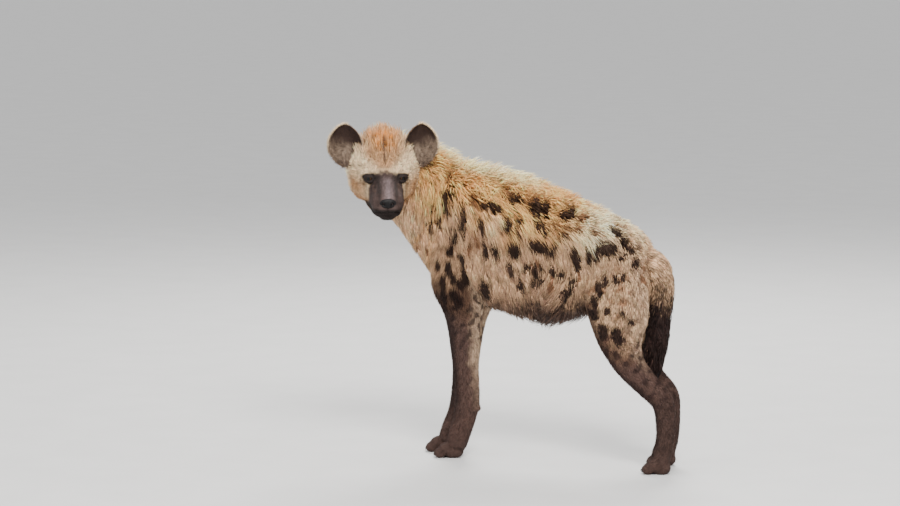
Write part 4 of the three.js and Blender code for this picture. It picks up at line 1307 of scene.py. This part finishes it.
def claw_finish():
    finish = Finish("claw_horn", Roughness=0.5, Specular_IOR_Level=0.3)
    grain = finish.noise(260, 4.0, (0.4, 1, 1))
    colour = finish.node("ShaderNodeValToRGB", {0: grain}, stops=(
        (0.3, (0.010, 0.008, 0.007)), (0.6, (0.024, 0.018, 0.015)), (0.8, (0.055, 0.044, 0.036)),
    ))
    finish.set(Base_Color=colour, Roughness=grain * 0.3 + 0.35)
    finish.bump(grain, 0.3, 0.3 * MM)
    return finish.material


def floor_finish():
    finish = Finish("floor_paint", Roughness=0.7, Specular_IOR_Level=0.2)
    grain = finish.noise(6, 3.0)
    shade = finish.node("ShaderNodeValToRGB", {0: grain}, stops=((0.3, (0.66,) * 3), (0.7, (0.69,) * 3)))
    finish.set(Base_Color=shade)
    return finish.material


# The parts of the model that later steps need
class Model:
    field = None
    triangles = None
    hair = None


class HYENA_OT_skin(bpy.types.Operator):
    """Join the body's forms into one skin and lay out the coat on it"""

    bl_idname = "hyena.skin"
    bl_label = "Skin"

    LARGEST = 185000

    def execute(self, context):
        sizes = context.scene.hyena_body
        mesh = joined_skin(sizes.voxel)
        verts, normals, _, _ = mesh_arrays(mesh)
        verts = sculpted(verts, normals)
        set_places(mesh, verts)
        verts, normals, Model.triangles, edges = mesh_arrays(mesh)
        Model.field = Field(verts, normals, edges)
        Model.hair = hair_finish("coat_hair")
        paint_coat(Model.field, context.scene.hyena_colours, context.scene.hyena_coat.seed)
        mesh = remade(mesh, "DECIMATE", ratio=self.LARGEST / len(Model.triangles))
        below = Model.field.nearest(mesh_arrays(mesh)[0])
        # The skin under the coat takes mostly the roots' colour, with their painted shade
        set_colours(mesh, 0.6 * Model.field.root[below] + 0.3 * Model.field.tip[below])
        skin = finished("hyena_skin", mesh, skin_finish("short_fur"))
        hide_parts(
            "head", "neck", "torso", "tail", "foreleg_left", "foreleg_right", "forepaw_left",
            "forepaw_right", "hindleg_left", "hindleg_right", "hindpaw_left", "hindpaw_right",
        )
        return {"FINISHED"}


def eye_frame(side):
    return HEAD_TO_ROW @ (
        Matrix.Translation(Vector((EYE_PLACE.x, side * EYE_PLACE.y, EYE_PLACE.z)) * MM)
        @ Matrix.Rotation(math.radians(side * EYE_OUTWARD), 4, "Z")
    )


def side_name(side):
    return "left" if side > 0 else "right"


class HYENA_OT_eyes(bpy.types.Operator):
    """Set the eyeballs and their dark lids"""

    bl_idname = "hyena.eyes"
    bl_label = "Eyes"

    def execute(self, context):
        sizes = context.scene.hyena_body
        for side in (1, -1):
            self.eyeball(side, sizes)
        self.lids(sizes, linear(context.scene.hyena_colours.muzzle) * 0.2)
        return {"FINISHED"}

    def eyeball(self, side, sizes):
        frame_of_eye = eye_frame(side)
        bm = bmesh.new()
        bmesh.ops.create_uvsphere(
            bm, u_segments=48, v_segments=32, radius=sizes.eye_radius,
            matrix=Matrix.Rotation(math.radians(90), 4, "Y"),
        )
        for vert in bm.verts:
            direction = vert.co.normalized()
            vert.co += direction * (1.2 * MM) * float(smoothstep(0.72, 0.95, np.array(direction.x)))
        bm.transform(frame_of_eye)
        gaze = (frame_of_eye.to_3x3() @ Vector((1, 0, 0))).normalized()
        material = eye_finish(side_name(side), frame_of_eye.translation, gaze)
        eye = new_piece(f"eyeball_{side_name(side)}", bm, material)
        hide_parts(f"eye_{side_name(side)}")

    def lids(self, sizes, colour):
        """Upper and lower lid as one rolled ring round each almond opening."""
        field = Model.field
        angles = np.arange(56) * (2 * math.pi / 56)
        cosine, sine = np.cos(angles), np.sin(angles)
        bm = bmesh.new()
        for side in (1, -1):
            frame_of_eye = eye_frame(side)
            back = frame_of_eye.inverted()
            wide = cosine * 11 * MM
            tall = np.sign(sine) * np.abs(sine) ** 1.2 * np.where(sine > 0, 5.6, 4.4) * MM - 0.12 * side * wide
            outer = np.column_stack((np.zeros(56), cosine * 17.5 * MM, sine * 12.5 * MM))
            for row in outer:
                index = field.tree.find(frame_of_eye @ Vector((12 * MM, row[1], row[2])))[1]
                row[0] = (back @ Vector(field.verts[index] - field.normals[index] * MM)).x
            for _ in range(3):
                outer[:, 0] = (np.roll(outer[:, 0], 1) + outer[:, 0] + np.roll(outer[:, 0], -1)) / 3

            def on_ball(distance):
                x = np.sqrt(np.maximum(distance ** 2 - wide ** 2 - tall ** 2, 0))
                return np.column_stack((x, wide, tall))

            edge = on_ball(sizes.eye_radius + sizes.lid_thickness)
            rings = [on_ball(sizes.eye_radius - 2.5 * MM), on_ball(sizes.eye_radius + 0.35 * MM), edge]
            for share in (0.16, 0.34, 0.52, 0.7, 0.86, 1.0):
                ring = edge * (1 - share) + outer * share
                ring[:, 0] += (1.1 * math.sin(math.pi * share ** 0.8) + 0.5 * math.sin(14 * share)) * MM
                rings.append(ring)
            rings.append(outer * 0.9 - np.array((5 * MM, 0, 0)))
            tube(bm, [placed(frame_of_eye, ring) for ring in rings], closed=True)
        count = len(bm.verts)
        piece = new_piece("eyelids", bm, skin_finish("lid_skin"))
        set_colours(piece.data, np.tile(colour, (count, 1)))


class HYENA_OT_nose(bpy.types.Operator):
    """Model the black nose leather with its nostrils"""

    bl_idname = "hyena.nose"
    bl_label = "Nose"

    def execute(self, context):
        bm = bmesh.new()
        bmesh.ops.create_uvsphere(bm, u_segments=80, v_segments=56, radius=1)
        for vert in bm.verts:
            x, y, z = vert.co
            ahead = max(0, x)
            square = abs(z) ** 0.8 * (1 if z > 0 else -1)
            point = Vector((110 + 14.5 * x, (26.5 - 6.0 * max(0, -z)) * y, -44 + 15.5 * square))
            for side in (1, -1):
                off_y, off_z = point.y - side * (12.5 + 0.35 * (point.z + 45)), point.z + 46
                hole = math.exp(-(off_y / 4.2) ** 2 - (off_z / 5.2) ** 2)
                slit = math.exp(-((abs(point.y) - 19) / 4.5) ** 2 - ((point.z + 50) / 1.9) ** 2)
                rim = math.exp(-(off_y / 9.0) ** 2 - (off_z / 9.5) ** 2)
                point.x += ahead * (3.0 * rim - 12 * hole - 2.4 * slit)
            point.x -= ahead * 2.6 * math.exp(-(point.y / 1.9) ** 2) * (0.3 + 0.7 * max(0, -z))
            vert.co = point * MM
        bm.transform(HEAD_TO_ROW)
        new_piece("nose", bm, nose_finish())
        return {"FINISHED"}


class HYENA_OT_ears(bpy.types.Operator):
    """Model the round ears, dark and cupped inside with a rim of pale hair"""

    bl_idname = "hyena.ears"
    bl_label = "Ears"

    # The ear's outline under its rim of hair is a little shorter than the solid's
    UNDER_HAIR = {78: (76, 47, 33), 101: (97, 38, 24), 120: (114, 22, 13), 131: (123, 6, 5)}
    DENSITY, RIM_DENSITY = 170e3, 1300e3
    DARK, PALE, OUTSIDE, RIM = (0.24, 0.185, 0.165), (0.60, 0.52, 0.45), (0.56, 0.44, 0.34), (0.92, 0.83, 0.70)

    def execute(self, context):
        sizes = context.scene.hyena_body
        for side in (1, -1):
            self.ear(side, sizes)
        return {"FINISHED"}

    def ear(self, side, sizes):
        pivot = Vector((EAR_PIVOT.x, side * EAR_PIVOT.y, 0)) * MM
        place = HEAD_TO_ROW @ (
            Matrix.Translation(pivot)
            @ Matrix.Rotation(math.radians(side * EAR_OUTWARD), 4, "Z")
            @ Matrix.Translation(-pivot)
        )
        rows = [(*row[:2], *self.UNDER_HAIR.get(row[2], row[2:5]), *row[5:]) for row in EAR]
        form = Form(rows if side > 0 else mirrored(rows), (-1, 0, 0), Matrix.Identity(4))
        arc = np.radians(np.linspace(0, 180, 25))
        rings = []
        for u in 1 - (1 - np.linspace(0, 1, 36)) ** 1.15:
            row = form.at(np.array([u]))[0]
            wall = min(sizes.ear_wall, 0.4 * row[3]) * (0.3 + 0.7 * np.sin(arc))
            ripple = 0.7 * MM * np.sin(arc * 9) * np.sin(arc) * math.sin(math.pi * u)
            outer = self.arc_points(row, arc, 0)
            inner = self.arc_points(row, arc, np.minimum(wall, 0.6 * row[4]) + ripple)[::-1]
            inner[:, 1] = row[1] + (inner[:, 1] - row[1]) * 0.965
            rings.append(np.concatenate((outer, inner)))
        bm = bmesh.new()
        tube(bm, rings)
        bm.transform(place)
        bmesh.ops.recalc_face_normals(bm, faces=bm.faces)
        name = side_name(side)
        mesh = bpy.data.meshes.new(f"ear_{name}_skin")
        bm.to_mesh(mesh)
        bm.free()
        verts, normals, triangles, _ = mesh_arrays(mesh)
        front = smoothstep(-0.15, 0.25, normals @ np.array(place.to_3x3())[:, 0])
        set_colours(mesh, self.colours_at(placed(place.inverted(), verts) / MM, front, side) * 0.8)
        piece = finished(f"ear_{name}_skin", mesh, skin_finish(f"ear_{name}_fur"))
        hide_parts(f"ear_{name}")
        self.hairs(form, place, verts, normals, triangles, side)

    def arc_points(self, row, arc, inset):
        points = np.tile(row[:3], (len(arc), 1))
        points[:, 1] += row[3] * np.sign(np.cos(arc)) * np.abs(np.cos(arc)) ** 0.92
        points[:, 0] -= row[4] * np.sin(arc) - inset
        return points

    def colours_at(self, own, front, side):
        """Dark near the tip and the inner edge, streaked with paler hair below."""
        aside = side * own[:, 1] - EAR_PIVOT.y
        height = own[:, 2] + 6 * wobble(own, 45) - 0.35 * aside
        colour = np.tile(linear(self.DARK), (len(own), 1))
        streaks = 0.5 + 0.5 * wobble(np.column_stack((own[:, 0], aside, 0.3 * (own[:, 2] - aside))), 9)
        pale = smoothstep(78, 40, height) * (0.35 + 0.65 * streaks)
        colour = layered(
            colour,
            (linear(self.PALE), pale * 0.85),
            (linear(self.DARK), smoothstep(30, 10, own[:, 2]) * 0.6),
        )
        return blend(colour, linear(self.OUTSIDE), 1 - front)

    def hairs(self, form, place, verts, normals, triangles, side):
        """Short hair over the ear, lying to the tip, and longer pale hair along the rim."""
        rng = np.random.default_rng(31 + side)
        axes = np.array(place.to_3x3())
        stations = form.at(np.linspace(0, 1, 80)) / MM
        corners = verts[triangles]
        own = placed(place.inverted(), corners.mean(1)) / MM
        normal = unit(normals[triangles].mean(1))
        front = (normal @ axes[:, 0] > 0).astype(float)
        half = np.interp(own[:, 2], stations[:, 2], stations[:, 3])
        rim = smoothstep(0.95, 1.0, np.abs(own[:, 1] - side * EAR_PIVOT.y) / half)
        rim = np.maximum(rim, smoothstep(119, 123, own[:, 2]))
        owner, mix = scattered(rng, triangle_areas(corners) * (self.DENSITY * (1 - rim) + self.RIM_DENSITY * rim))
        root = (corners[owner] * mix[:, :, None]).sum(1)
        normal, rim, front = normal[owner], rim[owner], front[owner]
        own = placed(place.inverted(), root) / MM
        radial = own - np.array((0, side * EAR_PIVOT.y, 60))
        radial[:, 0] = 0
        radial = unit(unit(radial) + np.array((0, 0, 0.8))) @ axes.T
        lie = unit(radial - normal * (radial * normal).sum(1)[:, None] + rng.normal(0, 0.2, root.shape))
        low = smoothstep(80, 40, own[:, 2]) * front * (1 - rim)
        length = ((5.5 + 1.0 * rim + 6 * low) * MM * rng.uniform(0.7, 1.25, len(root)))[:, None]
        tip = root + lie * length * (1 - 0.4 * rim[:, None]) + normal * length * 0.2
        tip += radial * length * 0.6 * rim[:, None]
        across = unit(np.cross(normal, lie)) * (rng.uniform(0.35, 0.65, len(root)) * MM)[:, None]
        base = root - normal * (0.6 * MM)
        hair = np.stack((base + across, base + normal * (0.9 * MM), base - across, tip), 1)
        name = side_name(side)
        mesh, loops = repeated_mesh(f"ear_{name}_hair", hair, ((0, 2, 1), (1, 3, 0), (2, 3, 1), (0, 3, 2)))
        colour = self.colours_at(own, front, side)
        colour = blend(colour, linear(self.RIM), rim * (0.55 + 0.45 * rng.random(len(root))))
        colour *= rng.uniform(0.65, 1.35, (len(root), 1))
        set_colours(mesh, np.repeat(colour[:, None], hair.shape[1], axis=1))
        across = np.clip((own[:, 1] - side * EAR_PIVOT.y + 60) / 120, 0, 1) * 0.49 + 0.5 * (1 - front)
        centre = np.column_stack((across, np.clip(own[:, 2] / 140, 0, 0.99))) * 0.996
        patch = np.array(((0, 0), (0.5, 0.3), (1, 0), (0.5, 1))) * 0.003
        set_patches(mesh, (centre[:, None] + patch[None]).reshape(-1, 2)[loops])
        finished(f"ear_{name}_hair", mesh, Model.hair)


class HYENA_OT_claws(bpy.types.Operator):
    """Set four blunt claws on each paw"""

    bl_idname = "hyena.claws"
    bl_label = "Claws"

    def execute(self, context):
        claw_length = context.scene.hyena_body.claw_length
        bm = bmesh.new()
        for (foot_x, foot_y), (length, width) in PAWS.values():
            place = DRAWN_TO_ROW @ Matrix.Translation((foot_x * MM, foot_y * MM, 0))
            for toe in range(4):
                spread = toe - 1.5
                forward = length * (0.32 if abs(spread) > 1 else 0.42)
                at = Vector((forward + length * 0.14, spread * width * 0.27, 12)) * MM
                root = place @ Matrix.Translation(at) @ Matrix.Rotation(math.radians(spread * 7), 4, "Z")
                self.claw(bm, root, claw_length)
        new_piece("claws", bm, claw_finish())
        return {"FINISHED"}

    def claw(self, bm, root, length):
        turns = np.arange(12) * (2 * math.pi / 12)
        rings = []
        for t in np.linspace(0, 1, 9):
            size = (2.9 * (1 - t) ** 0.55 + 0.5) * MM
            bend = math.radians(20 + 45 * t)
            middle = np.array((length * math.sin(1.15 * t) / 1.15, 0, -0.55 * length * t ** 1.5))
            up = np.sin(turns) * size
            across = np.column_stack((up * math.sin(bend), np.cos(turns) * size * 0.8, up * math.cos(bend)))
            rings.append(placed(root, middle + across))
        tube(bm, rings)


class HYENA_OT_coat(bpy.types.Operator):
    """Grow the coat, region by region, from the skin"""

    bl_idname = "hyena.coat"
    bl_label = "Coat"

    LARGEST = 190000

    def execute(self, context):
        sizes = context.scene.hyena_coat
        tufts = Tufts(Model.field, Model.triangles, sizes)
        group = np.argmax(tufts.weights, axis=1)
        crest = (np.sin(np.radians(tufts.angle)) > 0.8) & (group <= 1)
        left = tufts.roots[:, 1] > DRAWN_TO_ROW.translation.y
        rear = tufts.drawn[:, 0] < -60
        muzzle = tufts.head[:, 0] > 15
        thigh = tufts.drawn[:, 2] > 340
        clump = sizes.clump
        regions = (
            ("coat_crest", crest, 3, "coat_fur", clump),
            ("coat_flank_left", (group == 0) & ~crest & left & ~rear, 2, "coat_fur", clump),
            ("coat_flank_right", (group == 0) & ~crest & ~left & ~rear, 2, "coat_fur", clump),
            ("coat_rump", (group == 0) & ~crest & rear, 2, "coat_fur", clump * 0.7),
            ("coat_neck", (group == 1) & ~crest, 2, "coat_fur", clump),
            ("coat_head", (group == 2) & ~muzzle, 2, "face_fur", clump * 0.5),
            ("coat_muzzle", (group == 2) & muzzle, 1, "face_fur", 0.0),
            ("coat_forelegs", group == 3, 1, "leg_fur", clump * 0.3),
            ("coat_thighs", (group == 4) & thigh, 2, "leg_fur", clump * 0.6),
            ("coat_hindlegs", (group == 4) & ~thigh, 1, "leg_fur", clump * 0.3),
            ("coat_tail", group == 5, 3, "tail_fur", clump),
            ("coat_paws", group == 6, 1, "paw_fur", 0.0),
        )
        for name, mask, rings, slot, strength in regions:
            chosen = np.nonzero(mask)[0]
            triangles = len(chosen) * (6 * rings - 2)
            order = chosen[np.argsort(tufts.roots[chosen, 0], kind="stable")]
            parts = math.ceil(triangles / self.LARGEST)
            for number, part in enumerate(np.array_split(order, parts)):
                label = name if parts == 1 else f"{name}_{number + 1}"
                tufts.piece(label, part, rings, slot, Model.hair, strength)
            print(name, len(chosen), "tufts", triangles, "triangles")
        return {"FINISHED"}


class HYENA_OT_stage(bpy.types.Operator):
    """Set the floor, the lights and the camera"""

    bl_idname = "hyena.stage"
    bl_label = "Stage"

    def execute(self, context):
        bm = bmesh.new()
        bmesh.ops.create_grid(bm, x_segments=1, y_segments=1, size=60)
        mesh = bpy.data.meshes.new("floor")
        bm.to_mesh(mesh)
        bm.free()
        floor = bpy.data.objects.new("floor", mesh)
        mesh.materials.append(floor_finish())
        context.scene.collection.objects.link(floor)
        self.lights(context)
        self.camera(context)
        return {"FINISHED"}

    def lights(self, context):
        world = bpy.data.worlds.new("studio")
        world.use_nodes = True
        background = world.node_tree.nodes["Background"]
        background.inputs["Color"].default_value = (0.95, 0.95, 0.95, 1)
        background.inputs["Strength"].default_value = 1.0
        context.scene.world = world
        for name, place, size, power, colour in (
            ("key", (-2.2, 3.6, 4.4), 1.8, 480, (1.0, 0.97, 0.92)),
            ("fill", (2.8, 4.4, 1.8), 2.6, 70, (0.96, 0.98, 1.0)),
            ("back", (0.8, -3.2, 3.9), 1.8, 240, (1.0, 0.98, 0.94)),
        ):
            light = bpy.data.lights.new(name, "AREA")
            light.size = size
            light.energy = power
            light.color = colour
            lamp = bpy.data.objects.new(name, light)
            lamp.location = place
            lamp.rotation_euler = (Vector((0, 0, 0.5)) - Vector(place)).to_track_quat("-Z", "Y").to_euler()
            context.scene.collection.objects.link(lamp)

    def camera(self, context):
        """The camera stands as the photo's did: focal length and aim are in pixels of its 900 by 506 frame."""
        sizes = context.scene.hyena_stage
        frame_width, focal, horizon, aim = 900.0, 9.0 / 0.0028, 375.0, 103.0
        back = Vector((math.sin(sizes.azimuth), -math.cos(sizes.azimuth), 0))
        target = DRAWN_TO_ROW @ Vector((0.032, -0.08, 0))
        place = target + back * sizes.distance
        place.z = sizes.height
        flat = -back
        flat.rotate(Matrix.Rotation(math.atan(aim / focal), 3, "Z"))
        pitch = math.atan(horizon / focal)
        look = flat * math.cos(pitch) - Vector((0, 0, math.sin(pitch)))
        right = look.cross(Vector((0, 0, 1))).normalized()
        rows = Matrix((right, right.cross(look), -look)).transposed()
        data = bpy.data.cameras.new("camera")
        data.sensor_width = 36
        data.lens = focal / frame_width * data.sensor_width
        data.clip_end = 200
        camera = bpy.data.objects.new("camera", data)
        camera.matrix_world = Matrix.Translation(place) @ rows.to_4x4()
        context.scene.collection.objects.link(camera)
        context.scene.camera = camera


STEPS = (HYENA_OT_skin, HYENA_OT_eyes, HYENA_OT_nose, HYENA_OT_ears, HYENA_OT_claws, HYENA_OT_coat, HYENA_OT_stage)
SETTINGS = {
    "hyena_body": HyenaBodySizes,
    "hyena_coat": HyenaCoatSizes,
    "hyena_colours": HyenaCoatColours,
    "hyena_stage": HyenaStageSizes,
}


class HYENA_PT_sidebar(bpy.types.Panel):
    """Steps and settings of the hyena"""

    bl_idname = "HYENA_PT_sidebar"
    bl_label = "Spotted Hyena"
    bl_space_type = "VIEW_3D"
    bl_region_type = "UI"
    bl_category = "Hyena"

    def draw(self, context):
        for step in STEPS:
            self.layout.operator(step.bl_idname)
        for name, group in SETTINGS.items():
            box = self.layout.box()
            for setting in group.__annotations__:
                box.prop(getattr(context.scene, name), setting)


CLASSES = (*SETTINGS.values(), *STEPS, HYENA_PT_sidebar)


def register():
    for cls in CLASSES:
        bpy.utils.register_class(cls)
    for name, group in SETTINGS.items():
        setattr(bpy.types.Scene, name, PointerProperty(type=group))


def unregister():
    for name in SETTINGS:
        delattr(bpy.types.Scene, name)
    for cls in reversed(CLASSES):
        bpy.utils.unregister_class(cls)


def main():
    register()
    for step in STEPS:
        group, name = step.bl_idname.split(".")
        getattr(getattr(bpy.ops, group), name)()


if __name__ == "__main__":
    main()
